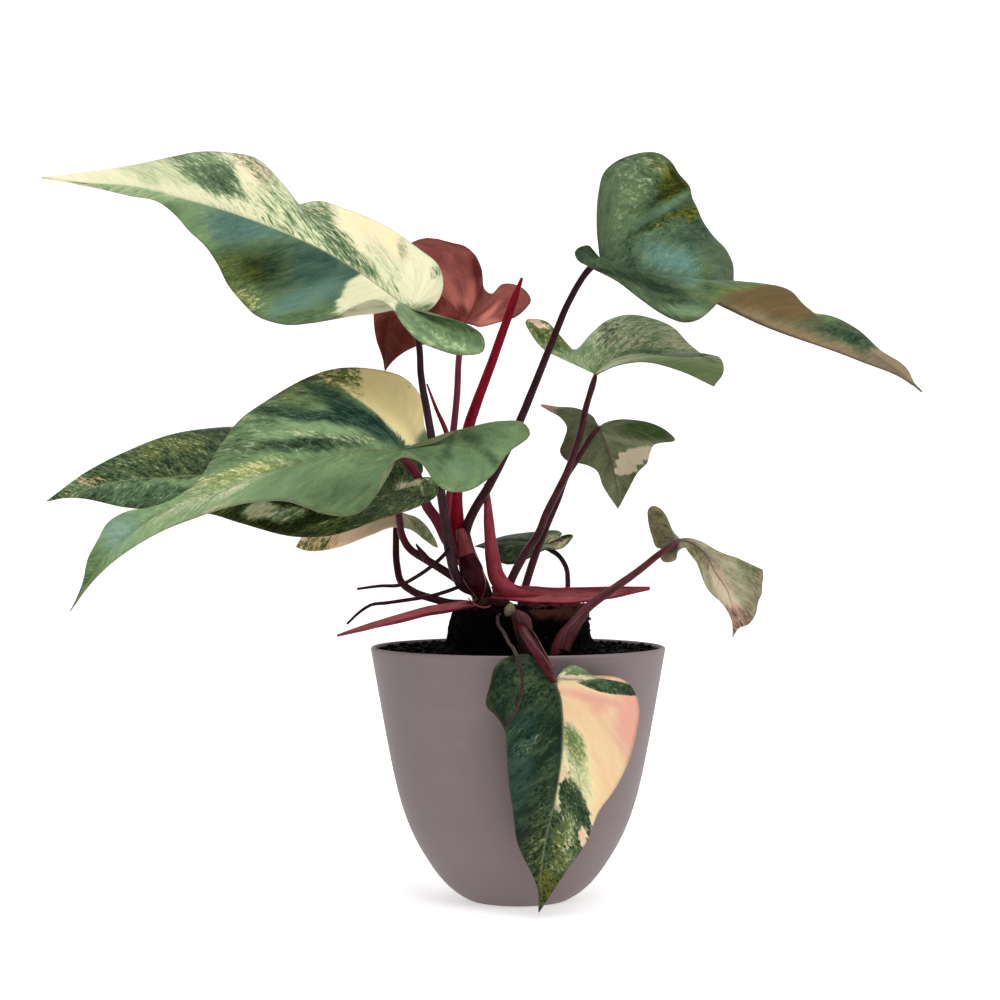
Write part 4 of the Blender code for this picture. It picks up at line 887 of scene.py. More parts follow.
def add_node(kind, inputs, output, tree=None, **settings):
    """Adds a node to the given tree or that of its first signal, feeds its inputs, and gives one of its outputs."""
    tree = tree or next(value.socket.id_data for value in inputs.values() if isinstance(value, Signal))
    node = tree.nodes.new("ShaderNode" + kind)
    for key, value in settings.items():
        setattr(node, key, value)
    for key, value in inputs.items():
        feed(node.inputs[key], value)
    return Signal(node.outputs[output])


def maths(operation, first, second=0.0):
    """A math node on signals or plain numbers."""
    return add_node("Math", {0: first, 1: second}, 0, operation=operation)


def band(value, low, high, to_low=0.0, to_high=1.0):
    """A smooth step of a value between low and high."""
    limits = {"From Min": low, "From Max": high, "To Min": to_low, "To Max": to_high}
    return add_node("MapRange", {"Value": value, **limits}, "Result", interpolation_type="SMOOTHSTEP")


def mixed(share, first, second):
    """A blend of two colours, by the numbered sockets that the mix node has for colours."""
    return add_node("Mix", {0: share, 6: first, 7: second}, 2, data_type="RGBA")


def noise(place, scale, detail=3.0, roughness=0.55, distortion=0.0):
    """Noise at one scale, or at a scale for each axis."""
    if isinstance(scale, tuple):
        place, scale = add_node("Mapping", {"Vector": place, "Scale": scale}, "Vector"), 1.0
    return add_node("TexNoise", {"Vector": place, "Scale": scale, "Detail": detail, "Roughness": roughness,
                                 "Distortion": distortion}, "Fac")


def cells(place, scale):
    """Distance from the middle of the nearest of many small cells."""
    return add_node("TexVoronoi", {"Vector": place, "Scale": scale}, "Distance")


def linear(colour):
    """A colour of 0 to 255 as seen, in the linear values that a shader takes."""
    parts = [c / 255 for c in colour]
    return [c / 12.92 if c < 0.04045 else ((c + 0.055) / 1.055) ** 2.4 for c in parts] + [1.0]


def build_group(name, pattern, sockets):
    """A shader group with named inputs. Its colour, roughness and height are what the pattern makes of them."""
    group = bpy.data.node_groups.new(name, "ShaderNodeTree")
    for label, default in sockets.items():
        kind = "Vector" if default is None else "Color" if isinstance(default, tuple) else "Float"
        socket = group.interface.new_socket(name=label, in_out="INPUT", socket_type="NodeSocket" + kind)
        if kind != "Vector":
            socket.default_value = linear(default) if kind == "Color" else default
    for label, kind in (("Color", "Color"), ("Roughness", "Float"), ("Height", "Float")):
        group.interface.new_socket(name=label, in_out="OUTPUT", socket_type="NodeSocket" + kind)
    given = {socket.name: Signal(socket) for socket in group.nodes.new("NodeGroupInput").outputs}
    result = group.nodes.new("NodeGroupOutput")
    for slot, signal in enumerate(pattern(given)):
        feed(result.inputs[slot], signal)


def leaf_pattern(given):
    """Variegation along the side veins: greens from deep to pale, cool or warm, under cream, yellow and pink."""
    veins, mottle = given["Skin Map"], given["Mottle"]
    streak = noise(veins, (480, 120, 1), 4.0, 0.66, 0.6)
    fleck = noise(veins, (1050, 560, 1), 4.0, 0.68, 0.4)
    cloud = noise(veins, (120, 60, 1), 3.0, 0.5, 0.8)
    patch = noise(veins, (300, 170, 1), 3.0, 0.6, 1.0)
    grain = fleck + (streak - fleck) * given["Streak"] + patch * 0.7
    stir = (grain - 0.85) * (mottle * 3.2)
    broad = cloud - 0.5

    # Cream where the mask is strong, in flecks where the blade is mottled
    light = given["Light"] + (stir + broad * 0.25)
    softness = 0.38 - mottle * 0.22
    cream_mask = band(light, 0.5 - softness, softness + 0.5)

    # The green below it: how pale, and how cool or warm
    lines = (streak - 0.5) * given["Streak"]
    tone = (given["Tone"] + stir * 0.85 + broad * 0.45 + lines * 0.6).held()
    warm = given["Warm"] + broad * 0.5 + stir * 0.3
    gold_mask = band(warm, 0.1, 0.9)
    teal_mask = band(warm, -0.1, -0.9)
    deep = mixed(gold_mask, mixed(teal_mask, given["Deep Green"], given["Deep Teal"]), given["Olive"])
    pale = mixed(gold_mask, mixed(teal_mask, given["Pale Green"], given["Pale Teal"]), given["Gold"])
    green = mixed(tone, deep, pale)

    # Cream that is yellow or pink in places and lightly streaked with green
    cream = mixed(band(warm, 0.25, 0.9), given["Cream"], given["Yellow"])
    cream = mixed(band(given["Blush"] + broad * 0.35, 0.1, 1.0), cream, given["Pink"])
    haze = band(streak, 0.50, 0.72) * (mottle + 0.15)
    cream = mixed((haze * 0.6).held(), cream, pale)
    colour = mixed(cream_mask, green, cream)

    # Side veins, faint and uneven, and dark pores, then the midrib and the thin margin
    run = add_node("SeparateXYZ", {"Vector": veins}, "X")
    main_wave = maths("SINE", run * VEIN_PITCH)
    fine_wave = maths("SINE", run * FINE_VEIN_PITCH)
    vein = band(main_wave, 0.75, 1.0) * band(cloud, 0.40, 0.60)
    colour = mixed(vein * given["Vein Contrast"], colour, pale)
    colour = mixed(band(cells(veins, 240.0), 0.26, 0.14) * given["Spots"], colour, deep)
    colour = mixed(given["Midrib"], colour, given["Midrib Colour"])
    colour = mixed(given["Margin"], colour, given["Margin Colour"])
    # Painted shade: the shade mask darkens the colour where the blade lies in shade, partly for its own darker colour
    value = band(given["Shade"], 0.0, 1.0, 1.0, 0.2)
    colour = add_node("HueSaturation", {"Color": colour, "Value": value}, "Color")
    height = fine_wave * 0.03 + main_wave * 0.10 + fleck * 0.6 + given["Midrib"] * -0.6
    return colour, cloud * 0.20 + cream_mask * 0.08 + 0.34, height


def stalk_skin(given):
    """Skin of a stalk: fine lengthwise lines, cloudy changes of colour and small pale flecks."""
    lines = noise(given["Skin Map"], (60, 2600, 1))
    cloud = noise(given["Skin Map"], (120, 420, 1), 3.0, 0.5, 0.4)
    specks = noise(given["Skin Map"], (900, 1500, 1), 2.0, 0.5)
    colour = mixed(band(lines * 0.55 + cloud * 0.75, 0.30, 0.95), given["Dark"], given["Fresh"])
    flecks = band(specks, 0.60, 0.72) * given["Fleck Amount"]
    return mixed(flecks, colour, given["Fleck"]), cloud * 0.25 + 0.24, lines + flecks * 0.6


def crumb_grain(given):
    """Grain of potting mix: dark crumbs with brown fibres and a few pale grits."""
    place = given["Place"]
    crumbs = noise(place, 420.0, 5.0, 0.65, 0.4)
    lumps = noise(place, 130.0, 3.0, 0.55, 0.3)
    fibres = noise(place, (900, 260, 500), 3.0, 0.6, 1.2)
    share = lumps * 0.7 + crumbs * 0.5 + (given["Dryness"] - 0.3)
    colour = mixed(band(share, 0.50, 0.90), given["Dark"], given["Brown"])
    grit = band(cells(place, 520.0), 0.16, 0.08) * band(lumps, 0.55, 0.62)
    return mixed(grit, colour, given["Grit"]), fibres * 0.2 + 0.72, crumbs + fibres * 0.5


def pot_surface(given):
    """Moulded plastic with a faint mottle, fine dust and slight scuffs that ring the wall."""
    place = given["Place"]
    mottle = noise(place, 38.0, 4.0, 0.55, 0.2)
    grain = noise(place, 2400.0, 2.0, 0.5)
    rings = noise(place, (14, 14, 620), 3.0, 0.6)
    speck = noise(place, 620.0, 2.0, 0.4)
    colour = mixed(band(mottle * 0.7 + rings * 0.3, 0.42, 0.68) * 0.28, given["Base"], given["Dust"])
    colour = mixed(band(speck, 0.70, 0.80) * 0.35, colour, given["Dust"])
    return colour, mottle * 0.18 + rings * 0.08 + 0.34, grain * 0.6 + rings * 0.6


# Each shared group: its name, its pattern, and its inputs. Colours are as seen, and None is a vector.
GROUPS = (
    ("Leaf pattern", leaf_pattern, {
        "Skin Map": None, "Light": 0.0, "Blush": 0.0, "Warm": 0.0, "Tone": 0.0, "Shade": 0.0, "Mottle": 0.3,
        "Streak": 0.5, "Spots": 0.0, "Midrib": 0.0, "Margin": 0.0,
        "Deep Green": (28, 47, 31), "Pale Green": (136, 165, 115), "Deep Teal": (20, 52, 42),
        "Pale Teal": (114, 152, 138), "Olive": (40, 46, 6), "Gold": (162, 168, 72), "Cream": (232, 228, 190),
        "Yellow": (255, 234, 172), "Pink": (240, 176, 156), "Midrib Colour": (160, 160, 122),
        "Margin Colour": (110, 84, 66), "Vein Contrast": 0.08}),
    ("Stalk skin", stalk_skin, {
        "Skin Map": None, "Dark": (48, 20, 26), "Fresh": (120, 40, 56), "Fleck": (150, 110, 104),
        "Fleck Amount": 0.14}),
    ("Crumb grain", crumb_grain, {
        # The mix's near-black colour is its own dark colour with painted shade inside the pot
        "Place": None, "Dark": (5, 3, 3), "Brown": (66, 36, 28), "Grit": (104, 92, 86), "Dryness": 0.1}),
    ("Moulded surface", pot_surface, {"Place": None, "Base": (124, 110, 110), "Dust": (134, 121, 119)}),
)


def skin_material(name, group_name, values, bump, specular=0.07, masks=()):
    """A Principled material whose colour, roughness and relief come from one of the shader groups. Masks are
    read from painted attributes of the same names. The bump has its strength and its distance."""
    material = bpy.data.materials.new(name)
    material.use_nodes = True
    tree = material.node_tree
    pattern = tree.nodes.new("ShaderNodeGroup")
    pattern.node_tree = bpy.data.node_groups[group_name]
    inputs = dict(values)
    for label in masks:
        inputs[label.capitalize()] = add_node("Attribute", {}, "Fac", tree, attribute_name=label)
    if "Place" in pattern.inputs:
        inputs["Place"] = add_node("TexCoord", {}, "Object", tree)
    else:
        inputs["Skin Map"] = add_node("UVMap", {}, "UV", tree, uv_map="skin")
    for label, value in inputs.items():
        feed(pattern.inputs[label], value)
    colour, rough, height = (Signal(socket) for socket in pattern.outputs)
    relief = add_node("Bump", {"Height": height, "Strength": bump[0], "Distance": bump[1]}, "Normal")
    shader = tree.nodes["Principled BSDF"]
    for label, value in (("Base Color", colour), ("Roughness", rough), ("Normal", relief),
                         ("Specular IOR Level", specular)):
        feed(shader.inputs[label], value)
    return material


def palette(**colours):
    """Inputs of a group from colours as seen, named like the inputs."""
    return {label.replace("_", " ").title(): linear(colour) for label, colour in colours.items()}


def chosen(looks, *labels):
    """Inputs of a group from the colours of a property group, named like the inputs."""
    return {label.replace("_", " ").title(): [*getattr(looks, label), 1] for label in labels}


def leaf_material(name, colours, vein_contrast, bump):
    """A leaf's face, with the pattern's masks read from the blade's painted attributes."""
    return skin_material(name, "Leaf pattern", {**colours, "Vein Contrast": vein_contrast}, bump, 0.05, MASKS)


def stalk_material(name, dark, fresh, bump, specular=0.07, flecks=0.14, ending=""):
    """Skin of a stalk, bract or bud between two colours as seen, named after its piece."""
    values = {**palette(dark=dark, fresh=fresh), "Fleck Amount": flecks}
    return skin_material(name.replace("_", " ").capitalize() + ending, "Stalk skin", values, bump, specular)


def leaf_faces(looks):
    """Materials of a variegated leaf: its upper face, its underside and its midrib's ridge."""
    top = leaf_material("Leaf upper face", chosen(looks, "deep_green", "pale_green", "olive", "cream", "pink"),
                        0.08, (0.3, 0.0004))
    under = leaf_material("Leaf underside", palette(
        deep_green=(48, 56, 32), pale_green=(142, 148, 112), deep_teal=(60, 78, 40), pale_teal=(128, 146, 96),
        olive=(84, 64, 40), gold=(134, 112, 72), cream=(206, 198, 168), yellow=(218, 196, 162),
        pink=(184, 140, 128), midrib_colour=(84, 64, 52)), 0.2, (0.5, 0.0005))
    return top, under, stalk_material("midrib_ridge", (62, 46, 38), (112, 92, 74), (0.3, 0.0004))


def young_leaf_faces():
    """Materials of the young leaf: brownish red above, pinker beneath."""
    top = leaf_material("Young leaf upper face", palette(
        deep_green=(84, 30, 24), pale_green=(196, 116, 104), deep_teal=(74, 26, 24), pale_teal=(196, 112, 106),
        olive=(90, 40, 30), gold=(140, 76, 60), midrib_colour=(118, 44, 48), margin_colour=(84, 30, 32)),
        0.1, (0.35, 0.0004))
    under = leaf_material("Young leaf underside", palette(
        deep_green=(96, 44, 38), pale_green=(160, 96, 88), deep_teal=(92, 44, 40), pale_teal=(160, 96, 90),
        olive=(104, 52, 42), gold=(146, 84, 70), midrib_colour=(126, 52, 54), margin_colour=(90, 32, 34)),
        0.1, (0.45, 0.0005))
    return top, under, stalk_material("young_midrib_ridge", (86, 30, 38), (130, 56, 62), (0.3, 0.0004))


# Leaves

def painted(leaf, sights, veins, v, feather):
    """The leaf's painted masks: a base amount, then its dabs, placed as the eye sees them, with their edges
    drawn out along the side veins by the feather, in sights."""
    masks = {label: np.full(len(v), float(leaf["base"].get(label, 0))) for label in PAINTED}
    across, down = (sights + veins * feather[:, None]).T
    for centre_across, centre_down, half_width, half_height, angle, side, edge, amounts in leaf["dabs"]:
        offset_across, offset_down = across - centre_across, down - centre_down
        along = (offset_across * math.cos(angle) + offset_down * math.sin(angle)) / half_width
        beside = (offset_down * math.cos(angle) - offset_across * math.sin(angle)) / half_height
        share = 1 - eased(np.hypot(along, beside), 1 - edge, 1 + edge)
        if side:
            share = share * eased(v * side, -0.01, 0.03)
        for label, amount in amounts.items():
            masks[label] = masks[label] * (1 - share) + amount * share
    return masks


def make_leaf(name, looks, faces, rib):
    """A blade as a fine grid bent onto its guide lines, quilted between its veins and thickened, and its rib."""
    leaf, seed = LEAVES[name], list(LEAVES).index(name) + 1
    blade = Blade(leaf)
    rows, columns = leaf["grid"]
    form, flat = grid_form(rows, 2 * columns)
    bmesh.ops.reverse_faces(form, faces=form.faces)
    u = (flat[:, 0] + 1) / 2
    v = np.sign(flat[:, 1]) * np.abs(flat[:, 1]) ** COLUMN_CROWDING
    points, _, width = blade.surface(u, v)
    move_corners(form, points)
    form.normal_update()

    run, reach, share = blade.vein_run(u, rows), v * width, np.abs(v)
    bulge = 4 * share * (1 - share)
    size = np.clip(blade.length / FULL_LENGTH, 0.35, 1)
    quilt = looks.quilt_height * size * np.sin(run * VEIN_PITCH) * bulge * eased(share, 0, 0.25)
    waves = looks.wave_height * size * ripple(run * WAVE_PITCH[0], reach * WAVE_PITCH[1], seed) * bulge
    fading = 1 - eased(u, 0.55, 0.98)
    groove = np.exp(-((np.abs(reach) / GROOVE_WIDTH) ** 2)) * looks.groove_depth * (0.3 + 0.7 * fading)
    lift = (quilt + waves - groove) * eased(u, 0, 0.06)

    sights = sighted(points)
    edges = blade.surface(u, np.where(v < 0, -1.0, 1.0))[0]
    veins = unit(sighted(edges) - sighted(blade.surface(u, np.zeros(len(u)))[0]))
    slow = ripple(*(sights / SLOW_SIGHTS).T, seed)
    fine = ripple(run * FEATHER_PITCH[0], reach * FEATHER_PITCH[1], seed + FEATHER_SEEDS_FROM, FEATHER_WAVES)
    masks = painted(leaf, sights, veins, v, FEATHER_SIGHTS * fine + SLOW_FEATHER_SIGHTS * slow)
    rib_width = RIB_PAINT_WIDTH * (0.35 + 0.65 * fading) * (0.6 + 0.4 * size)
    masks["midrib"] = (1 - eased(np.abs(reach), rib_width * 0.45, rib_width)) * RIB_PAINT
    masks["margin"] = eased(share, *MARGIN_FROM) * MARGIN_PAINT
    for vert, height in zip(form.verts, lift):
        vert.co += vert.normal * height
    for label in MASKS:
        paint_layer(form, label, masks[label])
    swept = np.where(v > 0, leaf["sweep"][1], leaf["sweep"][0]) * np.abs(reach)
    map_skin(form, run - swept + seed * PATTERN_SHIFT, reach)
    thicken(add_piece("blade_" + name, form, faces, "leaf_" + name), looks.thickness)
    make_rib(name, blade, rib)


def make_rib(name, blade, material):
    """The midrib's ridge along the underside of a blade, from the stalk to near the tip."""
    stations = np.linspace(0, RIB_RUN, RIB_POINTS)
    at = blade.lobe_share + (1 - blade.lobe_share) * stations
    points, upward, _ = blade.surface(at, np.zeros(len(at)))
    size = float(np.clip(blade.length / FULL_LENGTH, 0.4, 1))
    radii = np.interp(stations, RIB_STATIONS, RIB_RADII) * MM * size
    form = tube(points - upward * (radii[:, None] * RIB_SINK + HALF_BLADE), radii, RIB_SIDES)
    add_piece("rib_" + name, form, [material], "leaf_" + name)


# Stalks, spears, roots, bracts and buds

def carried_frame(points):
    """Directions out from a line that turn with it and don't twist."""
    along = unit(np.gradient(points, axis=0))
    start = np.cross(along[0], (0.0, 0.0, 1.0) if abs(along[0][2]) < 0.9 else (0.0, 1.0, 0.0))
    aside = [unit(start)]
    for direction in along[1:]:
        aside.append(unit(aside[-1] - direction * np.dot(aside[-1], direction)))
    aside = np.array(aside)
    return aside, np.cross(along, aside)


def tube(points, radii, sides, relief=None):
    """A round stalk as a grid rolled about its line, with its ends closed. The relief gives shares of the radius."""
    aside, upward = carried_frame(points)
    form, flat = grid_form(len(points) - 1, sides)
    ring = np.rint((flat[:, 0] + 1) / 2 * (len(points) - 1)).astype(int)
    angle = (flat[:, 1] + 1) * np.pi
    run = run_length(points)[ring]
    size = radii[ring]
    if relief is not None:
        size = size * (1 + relief(run, angle, run / run.max()))
    offset = aside[ring] * np.cos(angle)[:, None] + upward[ring] * np.sin(angle)[:, None]
    move_corners(form, points[ring] + offset * size[:, None])
    map_skin(form, run, flat[:, 1] * radii.mean() * np.pi)
    bmesh.ops.holes_fill(form, edges=form.edges, sides=0)
    bmesh.ops.recalc_face_normals(form, faces=form.faces)
    return form


def stalk_relief(seed, groove, ridges=0.02, knots=0.02):
    """A shallow channel along the stalk, fine ribs round it, and slow swellings."""
    def relief(run, angle, share):
        channel = -groove * np.exp(-(((angle - np.pi) / 0.5) ** 2)) * eased(share, 0.02, 0.2)
        ribs = ridges * np.sin(11 * angle + seed)
        swell = knots * ripple(run * 60, 0.2 * np.cos(angle) + 0.2 * np.sin(angle), seed)
        return channel + ribs + swell
    return relief


def make_stalk(name, skin, sides, groove):
    """A stalk, spear or root. One that carries a leaf runs on to its blade, with a slight knee below it."""
    row = STALKS[name]
    places = seen(row["route"])
    if "leaf" in row:
        places = np.concatenate([places, [Blade(LEAVES[row["leaf"]]).stalk_end()]])
    points = smooth_line(places, row["rings"] * STALK_FINENESS)
    radii = radii_along(row, points)
    if "leaf" in row:
        to_end = run_length(points)[-1] - run_length(points)
        radii = radii * np.interp(to_end, KNEE_DISTANCES, KNEE_SWELLING)
    form = tube(points, radii, sides, stalk_relief(len(name), groove))
    add_piece(name + "_skin", form, [skin], name)


def make_stalks(beginnings, sides, groove, bump, specular=0.07, flecks=0.14):
    """Every stalk whose name begins as given, each in its own colours."""
    for name, row in STALKS.items():
        if name.startswith(beginnings):
            skin = stalk_material(name, row["dark"], row["fresh"], bump, specular, flecks)
            make_stalk(name, skin, sides, groove)


def gutter(bract):
    """A bract's line, and its directions outward and upward and its half width at each point."""
    points = smooth_line(seen(bract["route"]), bract["rings"] * BRACT_FINENESS)
    along = unit(np.gradient(points, axis=0))
    outward = unit(np.cross(along, np.array(bract["opens"], float)))
    return points, outward, np.cross(outward, along), radii_along(bract, points)


def make_bract(name, bract, node, thickness, faces):
    """A bract, open like a gutter, with rolled edges, drawn out to a point."""
    points, outward, upward, widths = gutter(bract)
    form, flat = grid_form(len(points) - 1, BRACT_COLUMNS)
    ring = np.rint((flat[:, 0] + 1) / 2 * (len(points) - 1)).astype(int)
    angle = flat[:, 1] * bract["half_turn"]
    rolled_in = BRACT_CURL * eased(np.abs(flat[:, 1]), *BRACT_CURL_FROM)
    curl = 1 + BRACT_WAVE * np.sin(ring * BRACT_WAVE_PITCH) - rolled_in
    offset = outward[ring] * np.sin(angle)[:, None] - upward[ring] * np.cos(angle)[:, None]
    move_corners(form, points[ring] + offset * (widths[ring] * curl)[:, None])
    map_skin(form, run_length(points)[ring], flat[:, 1] * BRACT_MAP_WIDTH)
    thicken(add_piece(name, form, faces, node), thickness)


def make_wrap(name, wrap, thickness):
    """A short sheath, with a thin pale rim along both edges where it has one."""
    skin = stalk_material(name, wrap["dark"], wrap["fresh"], (0.4, 0.0004), 0.06)
    make_bract(name, wrap, wrap["node"], thickness, [skin, skin])
    if not wrap["rim"]:
        return
    edge_skin = stalk_material(name, wrap["fresh"], wrap["pale"], (0.3, 0.0003), 0.1, ending=" rim")
    points, outward, upward, widths = gutter(wrap)
    for side, label in ((-1, "_rim_left"), (1, "_rim_right")):
        angle = side * wrap["half_turn"]
        edge = points + (outward * math.sin(angle) - upward * math.cos(angle)) * widths[:, None] * RIM_INSET
        form = tube(edge, np.full(len(edge), wrap["rim"]), RIM_SIDES)
        add_piece(name + label, form, [edge_skin], wrap["node"])


def make_bud(name, bud):
    """A short rounded bud or scar, swollen along its line."""
    skin = stalk_material(name, bud["dark"], bud["fresh"], (0.5, 0.0005), 0.06)
    points = smooth_line(seen(bud["route"]), bud["rings"] * BUD_FINENESS)
    relief = stalk_relief(len(name), groove=0.05, ridges=0.04, knots=0.06)
    form = tube(points, radii_along(bud, points), BUD_SIDES, relief)
    add_piece(name, form, [skin], bud["node"])


# Pot and soil

def pot_side(inset, lowest):
    """Points up the pot's side, moved in by the inset, from the lowest height."""
    sides = zip(POT_SIDE_RADII, POT_SIDE_HEIGHTS)
    points = [(radius * POT_RIM_RADIUS - inset, share * POT_HEIGHT) for radius, share in sides]
    return [point for point in points if point[1] > lowest]


def eased_profile(profile, count):
    """A smooth run of (radius, height) pairs through the given ones."""
    places = np.array([(radius, 0.0, height) for radius, height in profile])
    return [(point[0], point[2]) for point in smooth_line(places, count)]


def spun(profile, steps):
    """A profile of (radius, height) pairs, turned once round the pot's axis and closed."""
    form = bmesh.new()
    verts = [form.verts.new((radius, 0, height)) for radius, height in profile]
    edges = [form.edges.new(pair) for pair in zip(verts, verts[1:])]
    bmesh.ops.spin(form, geom=verts + edges, cent=(0, 0, 0), axis=(0, 0, 1), angle=2 * math.pi, steps=steps,
                   use_merge=True)
    bmesh.ops.remove_doubles(form, verts=form.verts, dist=MERGE_DISTANCE)
    bmesh.ops.recalc_face_normals(form, faces=form.faces)
    return form


def make_pot(looks):
    """The cup: a rounded foot, an even wall and a rolled lip, with its inside down to the floor."""
    half_wall = POT_WALL / 2
    lip_height = POT_HEIGHT - half_wall
    roll = [(POT_BASE_RADIUS + out * POT_BASE_BEVEL, up * POT_BASE_BEVEL) for out, up in FOOT_ROLL]
    wall = [roll[1], roll[0]] + pot_side(0, POT_BASE_BEVEL) + [(POT_RIM_RADIUS, lip_height)]
    inner = eased_profile(pot_side(POT_WALL, POT_WALL) + [(POT_RIM_RADIUS - POT_WALL, lip_height)], INNER_STEPS)
    middle = POT_RIM_RADIUS - half_wall
    lip = [(middle - math.cos(turn) * half_wall, lip_height + math.sin(turn) * half_wall)
           for turn in np.linspace(0, np.pi, LIP_STEPS + 1)[1:-1]]
    floor = [(0, POT_WALL), (POT_BASE_RADIUS - POT_WALL, POT_WALL)]
    profile = floor + inner + lip + eased_profile(wall, OUTER_STEPS)[::-1] + roll[2:] + [(0, 0)]
    plastic = {"Base": [*looks.colour, 1], "Dust": [*looks.dust, 1]}
    material = skin_material("Taupe moulded plastic", "Moulded surface", plastic, (0.12, 0.0006), 0.1)
    add_piece("pot_shell", spun(profile, looks.steps), [material], "pot", SHARP_ANGLE)


def soil_height(right, back):
    """Height of the soil's top: a level bed, the root ball standing out of it, and crumbly relief."""
    level = POT_HEIGHT - SOIL_BELOW_RIM
    turn = np.arctan2(back, right)
    edge = MOUND_RADIUS * (1 + 0.03 * np.sin(3 * turn + 0.6) + 0.02 * np.sin(7 * turn))
    steps = eased(-np.hypot(right, back), -edge * 1.06, -edge * 0.94)
    lean = MOUND_LEAN * np.clip((right + back * 0.5) / MOUND_RADIUS, -1, 1)
    relief = SOIL_RELIEF * np.sin(right * SOIL_RELIEF_PITCH[0] + 1.3) * np.sin(back * SOIL_RELIEF_PITCH[1] + 0.4)
    crumbs = (ripple(right * COARSE_PITCH, back * COARSE_PITCH, COARSE_SEED, SOIL_RELIEF_WAVES) * COARSE_SHARE
              + ripple(right * FINE_PITCH, back * FINE_PITCH, FINE_SEED, SOIL_RELIEF_WAVES) * FINE_SHARE)
    return level + steps * (MOUND_RISE + lean) + (relief * 0.7 + SOIL_RELIEF * crumbs) * (0.5 + 0.5 * steps)


def soil_top_radius():
    """Radius of the soil where its top meets the pot's wall."""
    top = (POT_HEIGHT - SOIL_BELOW_RIM) / POT_HEIGHT
    side = np.interp(top, (POT_SIDE_HEIGHTS[-1], 1), (POT_SIDE_RADII[-1], 1))
    return side * POT_RIM_RADIUS - POT_WALL - SOIL_WALL_GAP


def make_soil(looks):
    """The potting mix: the bed and the root ball as one turned body with a crumbly top."""
    top, reach = POT_HEIGHT - SOIL_BELOW_RIM, soil_top_radius()
    rings = np.concatenate([np.linspace(*run) for run in (*MOUND_RINGS, (BED_RINGS_FROM, reach, BED_RINGS))])
    floor = POT_WALL + SOIL_FLOOR_GAP
    wall = pot_side(POT_WALL + SOIL_WALL_GAP, floor)[::-1]
    profile = [(radius, top) for radius in rings] + wall + [(POT_BASE_RADIUS - 1.5 * POT_WALL, floor), (0, floor)]
    form = spun(profile, looks.steps)
    for vert in form.verts:
        out = math.hypot(vert.co.x, vert.co.y)
        if vert.co.z > top - 1e-6 and out < reach - 1e-5:
            vert.co.z = float(soil_height(vert.co.x, vert.co.y))
    form.normal_update()
    for vert in form.verts:
        if vert.co.z > top + MOUND_SIDE_ABOVE:
            beside, behind = ROOT_BALL_SHAKE_PITCH
            shake = ripple(vert.co.x * beside, vert.co.z * beside + vert.co.y * behind, ROOT_BALL_SHAKE_SEED,
                           ROOT_BALL_SHAKE_WAVES)
            vert.co += vert.normal * float(shake) * looks.shake
    bmesh.ops.recalc_face_normals(form, faces=form.faces)
    across, down = sighted(np.array([vert.co for vert in form.verts])).T
    paint_layer(form, "dryness", eased(across, *DRY_ACROSS) * (1 - eased(down, *DRY_DOWN)) * DRY_AMOUNT)
    mix = skin_material("Potting mix", "Crumb grain", {"Dark": [*looks.colour, 1]}, (0.9, 0.0012), 0.02,
                        ("dryness",))
    add_piece("soil_bed", form, [mix], "soil")
    make_crumbs(looks, reach)


def make_crumbs(looks, reach):
    """Loose crumbs and bits of bark lying on the bed and caught on the root ball."""
    draw = np.random.default_rng(looks.seed)
    form = bmesh.new()
    for _ in range(looks.crumb_count):
        out, turn = reach * CRUMB_REACH * math.sqrt(draw.uniform(0.0, 1)), draw.uniform(0, 2 * math.pi)
        right, back = out * math.cos(turn), out * math.sin(turn)
        size = draw.uniform(*CRUMB_SIZES)
        if out < MOUND_RADIUS and draw.uniform() > looks.crumbs_on_mound:
            continue
        crumb = bmesh.ops.create_icosphere(form, subdivisions=1, radius=1)["verts"]
        shape = np.array([size * draw.uniform(*span) for span in (CRUMB_LENGTHS, CRUMB_WIDTHS, CRUMB_HEIGHTS)])
        spin = draw.uniform(0, math.pi)
        height = float(soil_height(right, back)) + shape[2] * CRUMB_LIFT
        for vert in crumb:
            local = np.array(vert.co) * shape * draw.uniform(*CRUMB_UNEVENNESS)
            vert.co = (right + local[0] * math.cos(spin) - local[1] * math.sin(spin),
                       back + local[0] * math.sin(spin) + local[1] * math.cos(spin), height + local[2])
    bark = skin_material("Bark crumbs", "Crumb grain", {"Dark": [*looks.colour, 1], "Dryness": 0.14},
                         (0.6, 0.0008), 0.03)
    add_piece("soil_crumbs", form, [bark], "soil")


